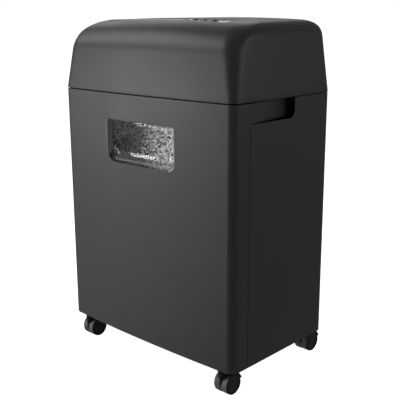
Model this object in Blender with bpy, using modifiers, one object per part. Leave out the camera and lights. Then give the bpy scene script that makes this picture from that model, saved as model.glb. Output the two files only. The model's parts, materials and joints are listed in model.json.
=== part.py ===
"""Office paper shredder on four twin-wheel casters, with a pull-out bin.

Units are metres, +Z is up, and the front looks along -Y.  Every piece is modelled in the
cabinet's own coordinates (X across, Y from the middle of the cabinet, Z from the floor) and
hangs on one root empty, which moves the cabinet so that the origin lies under the middle of
the whole machine, casters included.
"""
import math

import bmesh
import bpy
from mathutils import Matrix

# ---------------------------------------------------------------- driving dimensions
WIDTH = 0.370              # cabinet width, also the head's width at its foot
DEPTH = 0.2354             # cabinet depth from the crown of the bowed front to the rear
BODY_HEIGHT = 0.396        # cabinet, from its underside to the parting line under the head
HEAD_HEIGHT = 0.1122       # head, from the parting line to its highest point
FRONT_BOW = 0.0045         # how far the middle of the front stands forward of its corners
CORNER_RADIUS = 0.014      # vertical corners of the cabinet
WALL = 0.0025              # moulded walls of cabinet, door and head
GAP = 0.0003               # clearance between pieces that touch
SPLIT_GAP = 0.0008         # open joint between door and cabinet

# casters
WHEEL_RADIUS = 0.0164
WHEEL_WIDTH = 0.0115
CASTER_HEIGHT = 0.043      # floor to the cabinet's underside
CASTER_TRAIL = 0.0107      # wheel axle behind the swivel axis
SWIVEL_INSET_X = 0.028     # swivel axis in from the cabinet's side
SWIVEL_INSET_Y = 0.0152    # swivel axis in from the front crown and from the rear face
WEB_THICKNESS = 0.003
HOOD_REACH = 0.0025        # hood's outside beyond the wheel's tread
HOOD_WALL = 0.0016
HOOD_TIP = 22              # degrees above the axle at which the hood ends behind the wheels
STEM_RADIUS = 0.0035
STEM_LENGTH = 0.0125
AXLE_RADIUS = 0.0025
SEAT_CLEARANCE = 0.0022    # caster's boss below the cabinet's underside
SOCKET_RADIUS, SOCKET_HEIGHT = 0.0074, 0.0135

# bin
DOOR_WRAP = 0.034          # side strips of the door, from the front corner plane
SCOOP_LENGTH = 0.1035      # finger recess, from the door's edge to its rear end
SCOOP_HEIGHT = 0.030       # finger recess, down from the parting line
SCOOP_DEPTH = 0.016        # how deep the scoop's ramp runs at its rear end
SCOOP_RADIUS = 0.011
TUB_SIDE_CLEARANCE = 0.0065
TUB_HEADROOM = 0.004       # tub rim below the scoops
TUB_WALL = 0.002
RUNNER_HEIGHT = 0.0167
RUNNER_X, RUNNER_WIDTH = 0.125, 0.014

# window in the door
WINDOW_WIDTH = 0.151
WINDOW_HEIGHT = 0.067
WINDOW_DROP = 0.041        # upper edge below the parting line
WINDOW_CORNER = 0.019
WINDOW_DEPTH = 0.010
WINDOW_RISE = 0.018        # how far the dish's sill climbs over its depth
WINDOW_WALL = 0.0015

# head shape: lean of the walls and the elliptic roll-over into the top
SIDE_LEAN, SIDE_ROLL, SIDE_DROP = 0.009, 0.026, 0.022
FRONT_LEAN, FRONT_ROLL, FRONT_DROP = 0.009, 0.059, 0.047
REAR_LEAN, REAR_ROLL, REAR_DROP = 0.001, 0.012, 0.010
HEAD_OVERHANG = 0.0004
HEAD_CORNER_TOP = 0.030
DOME_DROP = 0.0056         # fall of the top from its middle to its sides

# throat and controls
THROAT_OFFSET = 0.0792     # feed slot behind the crown of the front
SLOT_WIDTH = 0.230
SLOT_OPENING = 0.006
BEZEL_WIDTH = 0.256
BEZEL_FRONT = 0.0275       # bezel in front of the slot's middle
BEZEL_BACK = 0.016         # bezel behind the slot's middle
BEZEL_CORNER = 0.006
BEZEL_THICKNESS = 0.003
BEZEL_SINK = 0.0006
FUNNEL_SPREAD = 0.005
CONTROL_OFFSET = 0.0215    # middle of the buttons in front of the slot
BUTTON_LENGTH, BUTTON_WIDTH, BUTTON_PROUD = 0.0130, 0.0070, 0.0010
BUTTON_PITCH = 0.0180
BUTTON_FIRST_X = 0.0620
LENS_RADIUS = 0.0022
GLAND_X, GLAND_RISE = -0.120, 0.026    # gland for the mains lead, above the parting line
GLAND_RADIUS, GLAND_BORE = 0.0075, 0.0038

# shredding mechanism
CUTTER_HEIGHT = 0.033      # shaft axis above the parting line
DISC_RADIUS, CORE_RADIUS, JOURNAL_RADIUS = 0.0165, 0.0110, 0.0050
DISC_PITCH, DISC_WIDTH, DISC_COUNT = 0.0120, 0.0052, 18
MODULE_SHAFT, SHAFT_TEETH, SMALL_TEETH = 0.0015, 20, 14
MODULE_MOTOR, LARGE_TEETH, PINION_TEETH = 0.0010, 48, 12
GEAR_WIDTH, LARGE_GEAR_WIDTH = 0.0065, 0.0050
PLATE_THICKNESS = 0.003
PLATE_INNER = 0.1235       # inner face of each frame plate
PLATE_HEIGHT = 0.056
PLATE_FRONT, PLATE_BACK = 0.046, 0.030
BUSH_OUTER = 0.0080
COMPOUND_ANGLE = math.radians(23)
MOTOR_ANGLE = math.radians(4)
MOTOR_RADIUS, MOTOR_LENGTH = 0.0240, 0.078
MOTOR_SHAFT_RADIUS, COMPOUND_AXLE_RADIUS = 0.0025, 0.0030
BAR_RADIUS = 0.0035
SWITCH_X = -0.100
HEAD_SCREW_X = 0.150

# ---------------------------------------------------------------- places that follow
HALF_W = WIDTH / 2
FRONT_Y = -DEPTH / 2
REAR_Y = DEPTH / 2
CORNER_Y = FRONT_Y + FRONT_BOW
BASE_Z = CASTER_HEIGHT
PARTING_Z = BASE_Z + BODY_HEIGHT
TOP_Z = PARTING_Z + HEAD_HEIGHT
DOOR_EDGE_Y = CORNER_Y + DOOR_WRAP
SCOOP_END_Y = DOOR_EDGE_Y + SCOOP_LENGTH
SCOOP_Z = PARTING_Z - SCOOP_HEIGHT
SWIVEL_X = HALF_W - SWIVEL_INSET_X
SWIVEL_Y = DEPTH / 2 - SWIVEL_INSET_Y
HOOD_RADIUS = WHEEL_RADIUS + HOOD_REACH
REAR_EXTENT = max(REAR_Y + HEAD_OVERHANG,
                  SWIVEL_Y + CASTER_TRAIL + HOOD_RADIUS * math.cos(math.radians(HOOD_TIP)))
MIDDLE_Y = (FRONT_Y - HEAD_OVERHANG + REAR_EXTENT) / 2
FLOOR_PLATE_TOP = BASE_Z + 0.003
RUNNER_Z = FLOOR_PLATE_TOP + GAP
TUB_Z = RUNNER_Z + RUNNER_HEIGHT + 0.0005
TUB_TOP = SCOOP_Z - TUB_HEADROOM
WINDOW_TOP = PARTING_Z - WINDOW_DROP
WINDOW_FOOT = WINDOW_TOP - WINDOW_HEIGHT
THROAT_Y = FRONT_Y + THROAT_OFFSET
CUTTER_Z = PARTING_Z + CUTTER_HEIGHT
SHAFT_SPACING = MODULE_SHAFT * SHAFT_TEETH
FRONT_SHAFT_Y = THROAT_Y - SHAFT_SPACING / 2
REAR_SHAFT_Y = THROAT_Y + SHAFT_SPACING / 2
COMPOUND_REACH = MODULE_SHAFT * (SHAFT_TEETH + SMALL_TEETH) / 2
COMPOUND_Y = REAR_SHAFT_Y + COMPOUND_REACH * math.cos(COMPOUND_ANGLE)
COMPOUND_Z = CUTTER_Z + COMPOUND_REACH * math.sin(COMPOUND_ANGLE)
MOTOR_REACH = MODULE_MOTOR * (LARGE_TEETH + PINION_TEETH) / 2
MOTOR_Y = COMPOUND_Y + MOTOR_REACH * math.cos(MOTOR_ANGLE)
MOTOR_Z = COMPOUND_Z + MOTOR_REACH * math.sin(MOTOR_ANGLE)
PLATE_OUTER = PLATE_INNER + PLATE_THICKNESS
SHAFT_GEAR_X = PLATE_OUTER + 0.001
LARGE_GEAR_X = SHAFT_GEAR_X + GEAR_WIDTH + 0.001
HEAD_BASE_Z = PARTING_Z + GAP
HEAD_BASE_TOP = HEAD_BASE_Z + 0.003
PLATE_Z = HEAD_BASE_TOP + GAP
CONTROL_Y = THROAT_Y - CONTROL_OFFSET

COLLECTION = "paper_shredder"
CUTTERS = "cutters"


# ---------------------------------------------------------------- scene helpers
def clear_scene():
    for thing in list(bpy.data.objects):
        bpy.data.objects.remove(thing, do_unlink=True)


def new_collection(name):
    collection = bpy.data.collections.new(name)
    bpy.context.scene.collection.children.link(collection)
    return collection


clear_scene()
PARTS = new_collection(COLLECTION)
TOOLS = new_collection(CUTTERS)
ROOT = bpy.data.objects.new("root_frame", None)
ROOT.location = (0, -MIDDLE_Y, 0)
PARTS.objects.link(ROOT)


def material(name, colour, roughness, metallic=0.0):
    made = bpy.data.materials.get(name)
    if made is None:
        made = bpy.data.materials.new(name)
        made.use_nodes = True
        shader = made.node_tree.nodes["Principled BSDF"]
        shader.inputs["Base Color"].default_value = (*colour, 1)
        shader.inputs["Roughness"].default_value = roughness
        shader.inputs["Metallic"].default_value = metallic
    return made


def piece(name, mesh, place, look, parent=None, smooth_angle=math.radians(35)):
    """Put a mesh in the scene as one named sub-part with its own material."""
    thing = bpy.data.objects.new(name, mesh)
    thing.location = place
    thing.parent = parent or ROOT
    PARTS.objects.link(thing)
    own = material(name, *look)
    mesh.materials.clear()
    mesh.materials.append(own)
    mesh.shade_smooth()
    mesh.set_sharp_from_angle(angle=smooth_angle)
    return thing


def cutter(name, mesh, place=(0, 0, 0)):
    """A shape that only cuts, joins or trims another piece."""
    thing = bpy.data.objects.new(name, mesh)
    thing.location = place
    thing.parent = ROOT
    thing.hide_render = True
    thing.display_type = "WIRE"
    TOOLS.objects.link(thing)
    return thing


def boolean(target, tool, operation="DIFFERENCE"):
    step = target.modifiers.new(f"{operation.lower()}_{tool.name}", "BOOLEAN")
    step.operation = operation
    step.object = tool
    step.solver = "EXACT"
    return step


def bevel(target, width, segments=2, angle=math.radians(40)):
    step = target.modifiers.new("bevel", "BEVEL")
    step.width = width
    step.segments = segments
    step.limit_method = "ANGLE"
    step.angle_limit = angle
    return step


# ---------------------------------------------------------------- mesh helpers
def box_mesh(name, size, centre=(0, 0, 0)):
    work = bmesh.new()
    bmesh.ops.create_cube(work, size=1.0)
    bmesh.ops.scale(work, vec=size, verts=work.verts)
    bmesh.ops.translate(work, vec=centre, verts=work.verts)
    mesh = bpy.data.meshes.new(name)
    work.to_mesh(mesh)
    work.free()
    return mesh


def span_box(name, low, high):
    size = [high[i] - low[i] for i in range(3)]
    centre = [(high[i] + low[i]) / 2 for i in range(3)]
    return box_mesh(name, size, centre)


AXIS_TURN = {
    "X": Matrix.Rotation(math.pi / 2, 4, "Y"),
    "Y": Matrix.Rotation(-math.pi / 2, 4, "X"),
    "Z": Matrix.Identity(4),
}


def rod_mesh(name, radius, start, end, axis="X", segments=20):
    """A cylinder that runs along an axis from start to end, both counted from the origin."""
    work = bmesh.new()
    bmesh.ops.create_cone(work, cap_ends=True, segments=segments, radius1=radius,
                          radius2=radius, depth=end - start)
    bmesh.ops.translate(work, vec=(0, 0, (start + end) / 2), verts=work.verts)
    bmesh.ops.transform(work, matrix=AXIS_TURN[axis], verts=work.verts)
    mesh = bpy.data.meshes.new(name)
    work.to_mesh(mesh)
    work.free()
    return mesh


def arc(centre, radius, start, end, steps):
    """Points on a circle arc, angles in degrees."""
    points = []
    for step in range(steps + 1):
        angle = math.radians(start + (end - start) * step / steps)
        points.append((centre[0] + radius * math.cos(angle), centre[1] + radius * math.sin(angle)))
    return points


def rounded_rectangle(low, high, radius, steps=5):
    (x0, y0), (x1, y1) = low, high
    return (arc((x1 - radius, y0 + radius), radius, -90, 0, steps)
            + arc((x1 - radius, y1 - radius), radius, 0, 90, steps)
            + arc((x0 + radius, y1 - radius), radius, 90, 180, steps)
            + arc((x0 + radius, y0 + radius), radius, 180, 270, steps))


def circle(centre, radius, steps=20):
    return arc(centre, radius, 0, 360, steps)[:-1]


def plate_mesh(name, outlines, low, high, axis="Z"):
    """A flat outline, with any holes, extruded between two levels along an axis.

    For Z the outline is in (x, y), for X in (y, z) and for Y in (z, x).
    """
    curve = bpy.data.curves.new(name + "_outline", "CURVE")
    curve.dimensions = "2D"
    curve.fill_mode = "BOTH"
    curve.extrude = (high - low) / 2
    curve.render_resolution_u = 0
    for outline in outlines:
        spline = curve.splines.new("POLY")
        spline.points.add(len(outline) - 1)
        for point, (u, v) in zip(spline.points, outline):
            point.co = (u, v, 0, 1)
        spline.use_cyclic_u = True
    holder = bpy.data.objects.new(name + "_outline", curve)
    bpy.context.scene.collection.objects.link(holder)
    evaluated = holder.evaluated_get(bpy.context.evaluated_depsgraph_get())
    mesh = bpy.data.meshes.new_from_object(evaluated)
    bpy.data.objects.remove(holder, do_unlink=True)
    work = bmesh.new()
    work.from_mesh(mesh)
    bmesh.ops.remove_doubles(work, verts=work.verts, dist=0.00002)
    bmesh.ops.translate(work, vec=(0, 0, (low + high) / 2), verts=work.verts)
    turn = {"Z": Matrix.Identity(4),
            "X": Matrix(((0, 0, 1, 0), (1, 0, 0, 0), (0, 1, 0, 0), (0, 0, 0, 1))),
            "Y": Matrix(((0, 1, 0, 0), (0, 0, 1, 0), (1, 0, 0, 0), (0, 0, 0, 1)))}[axis]
    bmesh.ops.transform(work, matrix=turn, verts=work.verts)
    work.to_mesh(mesh)
    work.free()
    mesh.name = name
    return mesh


def turned(name, profile, place, look, steps=20, closed=False, parent=None):
    """A profile of (radius, x) points turned about the X axis through the place.

    The profile runs along its outer side from +X to -X, so that the faces point outwards.
    """
    mesh = bpy.data.meshes.new(name)
    points = [(x, 0, radius) for radius, x in profile]
    edges = [(i, i + 1) for i in range(len(points) - 1)]
    if closed:
        edges.append((len(points) - 1, 0))
    mesh.from_pydata(points, edges, [])
    thing = piece(name, mesh, place, look, parent)
    screw = thing.modifiers.new("turn", "SCREW")
    screw.axis = "X"
    screw.steps = steps
    screw.render_steps = steps
    screw.use_merge_vertices = True
    screw.merge_threshold = 0.00001
    screw.use_normal_calculate = False
    return thing


def loft_mesh(name, rings, close_start=True, close_end=True):
    """Skin a list of rings with the same number of points, capped at the ends asked for."""
    work = bmesh.new()
    rows = [[work.verts.new(point) for point in ring] for ring in rings]
    count = len(rows[0])
    for lower, upper in zip(rows, rows[1:]):
        for i in range(count):
            j = (i + 1) % count
            work.faces.new((lower[i], lower[j], upper[j], upper[i]))
    if close_start:
        work.faces.new(list(reversed(rows[0])))
    if close_end:
        work.faces.new(rows[-1])
    mesh = bpy.data.meshes.new(name)
    work.to_mesh(mesh)
    work.free()
    return mesh


# ---------------------------------------------------------------- looks
GRAPHITE = ((0.052, 0.052, 0.053), 0.5)
GRAPHITE_DARK = ((0.035, 0.035, 0.036), 0.5)
GLOSS_BLACK = ((0.012, 0.012, 0.013), 0.15)
CLEAR = ((0.75, 0.78, 0.80), 0.05)
BLACK_NYLON = ((0.018, 0.018, 0.019), 0.45)
STEEL = ((0.55, 0.56, 0.58), 0.32, 1.0)
CUTTER_STEEL = ((0.42, 0.43, 0.45), 0.28, 1.0)
ZINC = ((0.62, 0.63, 0.66), 0.38, 1.0)
SINTERED = ((0.58, 0.42, 0.22), 0.45, 1.0)
ACETAL = ((0.80, 0.79, 0.74), 0.45)
BOARD_GREEN = ((0.02, 0.14, 0.06), 0.4)
PAPER = ((0.80, 0.80, 0.78), 0.9)
LENS_GREEN = ((0.20, 0.75, 0.35), 0.1)


# ---------------------------------------------------------------- outlines in plan
def front_line(half, corner_y, bow, radius, edge_y, arc_steps=6, bow_steps=14):
    """The door's line from its right edge round the bowed front to its left edge."""
    right = [(half, edge_y)] + arc((half - radius, corner_y + radius), radius, 0, -90, arc_steps)
    flat = half - radius
    middle = []
    for step in range(1, bow_steps):
        x = flat - 2 * flat * step / bow_steps
        middle.append((x, corner_y - bow * (1 - (x / flat) ** 2)))
    left = [(-x, y) for x, y in reversed(right)]
    return right + middle + left


def rear_line(half, rear_y, radius, edge_y, arc_steps=6):
    right = [(half, edge_y)] + arc((half - radius, rear_y - radius), radius, 0, 90, arc_steps)
    left = [(-x, y) for x, y in reversed(right)]
    return right + left


# ---------------------------------------------------------------- cabinet
def build_cabinet():
    edge = DOOR_EDGE_Y + SPLIT_GAP
    outer = rear_line(HALF_W, REAR_Y, CORNER_RADIUS, edge)
    inner = rear_line(HALF_W - WALL, REAR_Y - WALL, CORNER_RADIUS - WALL, edge)
    wrap = piece("cabinet_wrap", plate_mesh("cabinet_wrap", [outer + inner[::-1]], BASE_Z, PARTING_Z),
                 (0, 0, 0), GRAPHITE)
    notch_low = DOOR_EDGE_Y - WALL
    notch_top = PARTING_Z + 2 * WALL
    notch = ([(notch_low, notch_top), (notch_low, SCOOP_Z)]
             + arc((SCOOP_END_Y - SCOOP_RADIUS, SCOOP_Z + SCOOP_RADIUS), SCOOP_RADIUS, -90, 0, 6)
             + [(SCOOP_END_Y, notch_top)])
    boolean(wrap, cutter("scoop_notch", plate_mesh("scoop_notch", [notch], -WIDTH, WIDTH, "X")))

    side_clearance = WALL + 0.001
    base_front = CORNER_Y + WALL + 0.0012
    base_outline = rounded_rectangle((-HALF_W + side_clearance, base_front),
                                     (HALF_W - side_clearance, REAR_Y - WALL - GAP), 0.012)
    base = piece("cabinet_base", plate_mesh("cabinet_base", [base_outline], BASE_Z, FLOOR_PLATE_TOP),
                 (0, 0, 0), GRAPHITE_DARK)
    for index, (x, y) in enumerate(swivel_places()):
        boss = rod_mesh(f"socket_{index}", SOCKET_RADIUS, BASE_Z + 0.0005,
                        FLOOR_PLATE_TOP + SOCKET_HEIGHT, "Z", 16)
        boolean(base, cutter(f"socket_{index}", boss, (x, y, 0)), "UNION")
    for index, (x, y) in enumerate(swivel_places()):
        hole = rod_mesh(f"stem_hole_{index}", STEM_RADIUS + GAP, BASE_Z - WALL,
                        BASE_Z + STEM_LENGTH + GAP, "Z", 12)
        boolean(base, cutter(f"stem_hole_{index}", hole, (x, y, 0)))

    # ring that stiffens the open top and carries the head, clear of the door's scoops
    inboard = HALF_W - WALL - SCOOP_DEPTH - 0.0045
    shoulder = SCOOP_END_Y + 0.012
    wide = HALF_W - side_clearance
    frame_front = CORNER_Y + 0.0135
    back = REAR_Y - WALL - GAP
    ring = [(inboard, frame_front), (inboard, shoulder - 0.006), (wide, shoulder),
            (wide, back - CORNER_RADIUS), (wide - CORNER_RADIUS, back)]
    ring = ring + [(-x, y) for x, y in reversed(ring)]
    chute = rounded_rectangle((-PLATE_INNER, THROAT_Y - 0.033), (PLATE_INNER, THROAT_Y + 0.033), 0.006)
    piece("cabinet_top_frame", plate_mesh("cabinet_top_frame", [ring, chute],
                                          PARTING_Z - 0.004, PARTING_Z - GAP), (0, 0, 0), GRAPHITE_DARK)

    for name, side in (("bin_runner_left", -1), ("bin_runner_right", 1)):
        mesh = span_box(name, (-RUNNER_WIDTH / 2, base_front + 0.006, 0),
                        (RUNNER_WIDTH / 2, REAR_Y - WALL - 0.008, RUNNER_HEIGHT))
        runner = piece(name, mesh, (side * RUNNER_X, 0, RUNNER_Z), ACETAL)
        bevel(runner, 0.0015, 2)


def swivel_places():
    return [(sx * SWIVEL_X, sy * SWIVEL_Y) for sy in (-1, 1) for sx in (-1, 1)]


# ---------------------------------------------------------------- casters
def build_caster(tag, x, y):
    pivot = bpy.data.objects.new(f"caster_{tag}_swivel", None)
    pivot.parent = ROOT
    pivot.location = (x, y, WHEEL_RADIUS)
    PARTS.objects.link(pivot)

    hub_y = CASTER_TRAIL
    hood_half = WEB_THICKNESS / 2 + GAP + WHEEL_WIDTH
    inner = HOOD_RADIUS - HOOD_WALL
    stem_foot = CASTER_HEIGHT - SEAT_CLEARANCE - WHEEL_RADIUS
    # fender: an arch over both wheels, from its rear tip round the top to the swivel
    arch = (arc((hub_y, 0), HOOD_RADIUS, HOOD_TIP, 118, 9)
            + arc((hub_y, 0), inner, 118, HOOD_TIP, 9))
    hood = piece(f"caster_{tag}_hood", plate_mesh("hood", [arch], -hood_half, hood_half, "X"),
                 (0, 0, 0), BLACK_NYLON, pivot)
    # web between the wheels, from the axle up into the arch, with its nose under the swivel
    web = (arc((hub_y, 0), inner + HOOD_WALL / 2, HOOD_TIP + 8, 116, 7)
           + [(-0.0062, 0.0118), (-0.0045, 0.0030), (hub_y - 0.0055, -0.0045)]
           + arc((hub_y, 0), 0.0062, 250, 370, 4))
    half_web = WEB_THICKNESS / 2
    web_tool = cutter(f"caster_{tag}_web", plate_mesh("web", [web], -half_web, half_web, "X"))
    boss_tool = cutter(f"caster_{tag}_boss", rod_mesh("boss", 0.0068, 0.0125, stem_foot, "Z", 16))
    stem_tool = cutter(f"caster_{tag}_stem",
                       rod_mesh("stem", STEM_RADIUS, stem_foot - 0.001,
                                BASE_Z + STEM_LENGTH - 0.001 - WHEEL_RADIUS, "Z", 12))
    bore_tool = cutter(f"caster_{tag}_bore",
                       rod_mesh("bore", AXLE_RADIUS + GAP, -0.01, 0.01, "X", 12))
    # the boss stops above the treads
    clear_tool = cutter(f"caster_{tag}_tread_room", plate_mesh(
        "tread_room", [circle((hub_y, 0), WHEEL_RADIUS + 0.0005)], half_web, 0.02, "X"))
    clear_left = cutter(f"caster_{tag}_tread_room_left", plate_mesh(
        "tread_room_left", [circle((hub_y, 0), WHEEL_RADIUS + 0.0005)], -0.02, -half_web, "X"))
    for tool in (web_tool, boss_tool, stem_tool, bore_tool, clear_tool, clear_left):
        tool.parent = pivot
    bore_tool.location = (0, hub_y, 0)
    boolean(hood, boss_tool, "UNION")
    boolean(hood, clear_tool)
    boolean(hood, clear_left)
    boolean(hood, web_tool, "UNION")
    boolean(hood, stem_tool, "UNION")
    boolean(hood, bore_tool)

    axle_half = half_web + WHEEL_WIDTH - 0.002
    piece(f"caster_{tag}_axle", rod_mesh("axle", AXLE_RADIUS, -axle_half, axle_half, "X", 12),
          (0, hub_y, 0), STEEL, pivot)

    # wheel: a drum with a crowned tread, open hub and a shallow dished outer face
    start = half_web + GAP
    end = start + WHEEL_WIDTH
    hub = AXLE_RADIUS + GAP
    rim = WHEEL_RADIUS
    profile = [(hub, end - 0.0018), (rim - 0.0040, end - 0.0018), (rim - 0.0032, end),
               (rim - 0.0010, end), (rim, end - 0.0012), (rim, start + 0.0030),
               (rim - 0.0016, start), (hub, start)]
    for side, sign in (("right", 1), ("left", -1)):
        points = profile if sign > 0 else [(r, -x) for r, x in reversed(profile)]
        turned(f"caster_{tag}_wheel_{side}", points, (0, hub_y, 0), GRAPHITE, 20, True, pivot)


# ---------------------------------------------------------------- bin
def build_bin():
    outer = front_line(HALF_W, CORNER_Y, FRONT_BOW, CORNER_RADIUS, DOOR_EDGE_Y)
    inner = front_line(HALF_W - WALL, CORNER_Y + WALL, FRONT_BOW, CORNER_RADIUS - WALL, DOOR_EDGE_Y)
    top = PARTING_Z - 0.0005
    door = piece("bin_front", plate_mesh("bin_front", [outer + inner[::-1]], BASE_Z, top),
                 (0, 0, 0), GRAPHITE)
    # finger scoops: a ramp that leaves the door's edge flush and runs deeper to the rear
    foot = HALF_W - WALL * 0.2
    end_y = SCOOP_END_Y + 0.004
    ramp = [(foot, DOOR_EDGE_Y - 0.003), (HALF_W, DOOR_EDGE_Y), (HALF_W - SCOOP_DEPTH, end_y),
            (HALF_W - SCOOP_DEPTH - WALL, end_y), (HALF_W - WALL * 1.2, DOOR_EDGE_Y - 0.003)]
    for name, side in (("scoop_right", 1), ("scoop_left", -1)):
        outline = [(side * x, y) for x, y in ramp]
        mesh = plate_mesh(name, [outline], SCOOP_Z + 0.0005, top - 0.0002)
        boolean(door, cutter(name, mesh), "UNION")

    sill, head = WINDOW_FOOT, WINDOW_TOP
    half = WINDOW_WIDTH / 2
    cut = plate_mesh("window_cut", [window_outline(half, sill, head, WINDOW_CORNER)],
                     FRONT_Y - 0.02, FRONT_Y + 0.02, "Y")
    boolean(door, cutter("window_cut", cut))

    # clear dish in the door: an open-fronted shell that shelves in from its sill
    rim = window_ring(half - GAP, sill + GAP, head - GAP, WINDOW_CORNER, FRONT_Y + 0.0012)
    mid = window_ring(half - 0.0008, sill + 0.35 * WINDOW_RISE, head - 0.0006, WINDOW_CORNER,
                      FRONT_Y + 0.0012 + 0.5 * WINDOW_DEPTH)
    back = window_ring(half - 0.0020, sill + WINDOW_RISE, head - 0.0012, WINDOW_CORNER,
                       FRONT_Y + 0.0012 + WINDOW_DEPTH)
    dish = piece("bin_window", loft_mesh("bin_window", [rim, mid, back], close_start=False),
                 (0, 0, 0), CLEAR)
    shell = dish.modifiers.new("wall", "SOLIDIFY")
    shell.thickness = WINDOW_WALL
    shell.offset = -1
    shell.use_even_offset = True

    tub_half = HALF_W - WALL - TUB_SIDE_CLEARANCE
    tub_front = CORNER_Y + WALL + 0.0008
    tub_back = REAR_Y - WALL - 0.0032
    tub_outline = rounded_rectangle((-tub_half, tub_front), (tub_half, tub_back), 0.012)
    rings = [[(x, y, TUB_Z) for x, y in tub_outline], [(x, y, TUB_TOP) for x, y in tub_outline]]
    tub = piece("bin_tub", loft_mesh("bin_tub", rings, close_end=False), (0, 0, 0), GRAPHITE_DARK)
    shell = tub.modifiers.new("wall", "SOLIDIFY")
    shell.thickness = TUB_WALL
    shell.offset = -1
    shell.use_even_offset = True
    margin = 0.0035
    hole = span_box("tub_window_hole", (-half - margin, tub_front - 0.004, sill - margin),
                    (half + margin, tub_front + 0.004, TUB_TOP + 0.01))
    boolean(tub, cutter("tub_window_hole", hole))

    # loose shreds: the outer crust of the heap, high against the window, falling to the rear
    heap_front = FRONT_Y + 0.0012 + WINDOW_DEPTH + WINDOW_WALL + 0.0010
    heap_back = tub_back - TUB_WALL - 0.002
    heap_top = head + 0.0015
    floor = TUB_Z + TUB_WALL + 0.0005
    slope_foot = floor + 0.55 * (heap_top - floor)
    crust = 0.005
    surface = [(heap_front, floor), (heap_front, heap_top - 0.004), (heap_front + 0.006, heap_top)]
    run = heap_back - heap_front - 0.006
    for step in range(1, 7):
        share = step / 6
        ease = share * share * (3 - 2 * share)
        surface.append((heap_front + 0.006 + run * share, heap_top + (slope_foot - heap_top) * ease))
    under = [(heap_front + crust, floor), (heap_front + crust, heap_top - 0.004 - crust)]
    for y, z in surface[3:]:
        under.append((min(y, heap_back), z - crust * 1.25))
    slack = TUB_WALL + 0.0006
    heap = piece("shredded_paper", plate_mesh("shredded_paper", [surface + under[::-1]],
                                              -tub_half, tub_half, "X"), (0, 0, 0), PAPER)
    room = rounded_rectangle((-tub_half + slack, tub_front + slack),
                             (tub_half - slack, tub_back - slack), 0.012 - TUB_WALL)
    boolean(heap, cutter("heap_room", plate_mesh("heap_room", [room], floor - 0.01, TUB_TOP)),
            "INTERSECT")


def window_outline(half, sill, head, radius):
    """Window in (z, x): square upper corners and round lower ones."""
    low_right = [(z, x) for x, z in arc((half - radius, sill + radius), radius, 0, -90, 7)]
    low_left = [(z, x) for x, z in arc((-half + radius, sill + radius), radius, -90, -180, 7)]
    return [(head, -half), (head, half)] + low_right + low_left


def window_ring(half, sill, head, radius, y):
    return [(x, y, z) for z, x in window_outline(half, sill, head, radius)]


# ---------------------------------------------------------------- head
def roll(height, top, drop, reach):
    """Inward run of the elliptic roll-over at a height."""
    q = (height - (top - drop)) / drop
    if q <= 0:
        return 0.0
    return reach * (1 - math.sqrt(max(0.0, 1 - q * q)))


def head_section(height, inset=0.0):
    """Half width, front, rear and corner radius of the head at a height, shrunk by an inset."""
    top = TOP_Z - inset
    share = (height - PARTING_Z) / HEAD_HEIGHT
    half = HALF_W + HEAD_OVERHANG - inset - SIDE_LEAN * share - roll(height, top, SIDE_DROP, SIDE_ROLL)
    front = (CORNER_Y - HEAD_OVERHANG + inset + FRONT_LEAN * share
             + roll(height, top, FRONT_DROP, FRONT_ROLL))
    rear = REAR_Y + HEAD_OVERHANG - inset - REAR_LEAN * share - roll(height, top, REAR_DROP, REAR_ROLL)
    radius = CORNER_RADIUS + (HEAD_CORNER_TOP - CORNER_RADIUS) * share
    return half, front, rear, max(radius - inset, 0.004)


def head_ring(height, inset=0.0, corner_steps=5, front_steps=10, side_steps=4):
    half, front, rear, radius = head_section(height, inset)
    share = max(0.0, min(1.0, (height - PARTING_Z) / HEAD_HEIGHT))
    flat = half - radius
    points = []
    for step in range(front_steps):
        x = -flat + 2 * flat * step / front_steps
        points.append((x, front - FRONT_BOW * (1 - (x / flat) ** 2)))
    points += arc((flat, front + radius), radius, -90, 0, corner_steps)
    for step in range(1, side_steps):
        points.append((half, front + radius + (rear - front - 2 * radius) * step / side_steps))
    points += arc((flat, rear - radius), radius, 0, 90, corner_steps)
    for step in range(1, front_steps):
        points.append((flat - 2 * flat * step / front_steps, rear))
    points += arc((-flat, rear - radius), radius, 90, 180, corner_steps)
    for step in range(1, side_steps):
        points.append((-half, rear - radius - (rear - front - 2 * radius) * step / side_steps))
    points += arc((-flat, front + radius), radius, 180, 270, corner_steps)[:-1]
    return [(x, y, height - DOME_DROP * share * (x / HALF_W) ** 2) for x, y in points]


def head_mesh(name, bottom, inset=0.0, corner_steps=5):
    """The head's outside as a closed solid from a height up, shrunk by an inset."""
    top = TOP_Z - inset
    start = top - FRONT_DROP
    heights = [bottom, (bottom + start) / 2]
    turn_steps = 8
    for step in range(turn_steps + 1):
        heights.append(start + FRONT_DROP * math.sin(math.pi / 2 * step / turn_steps))
    rings = [head_ring(height, inset, corner_steps) for height in heights]
    _, front, rear, _ = head_section(top, inset)
    middle = (front + rear) / 2
    last = rings[-1]
    # the crown closes in rings that follow the dome, down to a ridge in the middle
    for shrink in (0.66, 0.33):
        ring = []
        for x, y, z in last:
            across = x * shrink
            ring.append((across, middle + (y - middle) * shrink,
                         top - DOME_DROP * (across / HALF_W) ** 2))
        rings.append(ring)
    return loft_mesh(name, rings)


def head_height(x, y, inset=0.0):
    """Height of the head's surface over a place away from its corners."""
    low, high = PARTING_Z, TOP_Z - inset
    for _ in range(40):
        trial = (low + high) / 2
        half, front, rear, radius = head_section(trial, inset)
        bow = FRONT_BOW * (1 - (x / (half - radius)) ** 2)
        if abs(x) <= half and front - bow <= y <= rear:
            low = trial
        else:
            high = trial
    share = (low - PARTING_Z) / HEAD_HEIGHT
    return low - DOME_DROP * share * (x / HALF_W) ** 2


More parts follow.
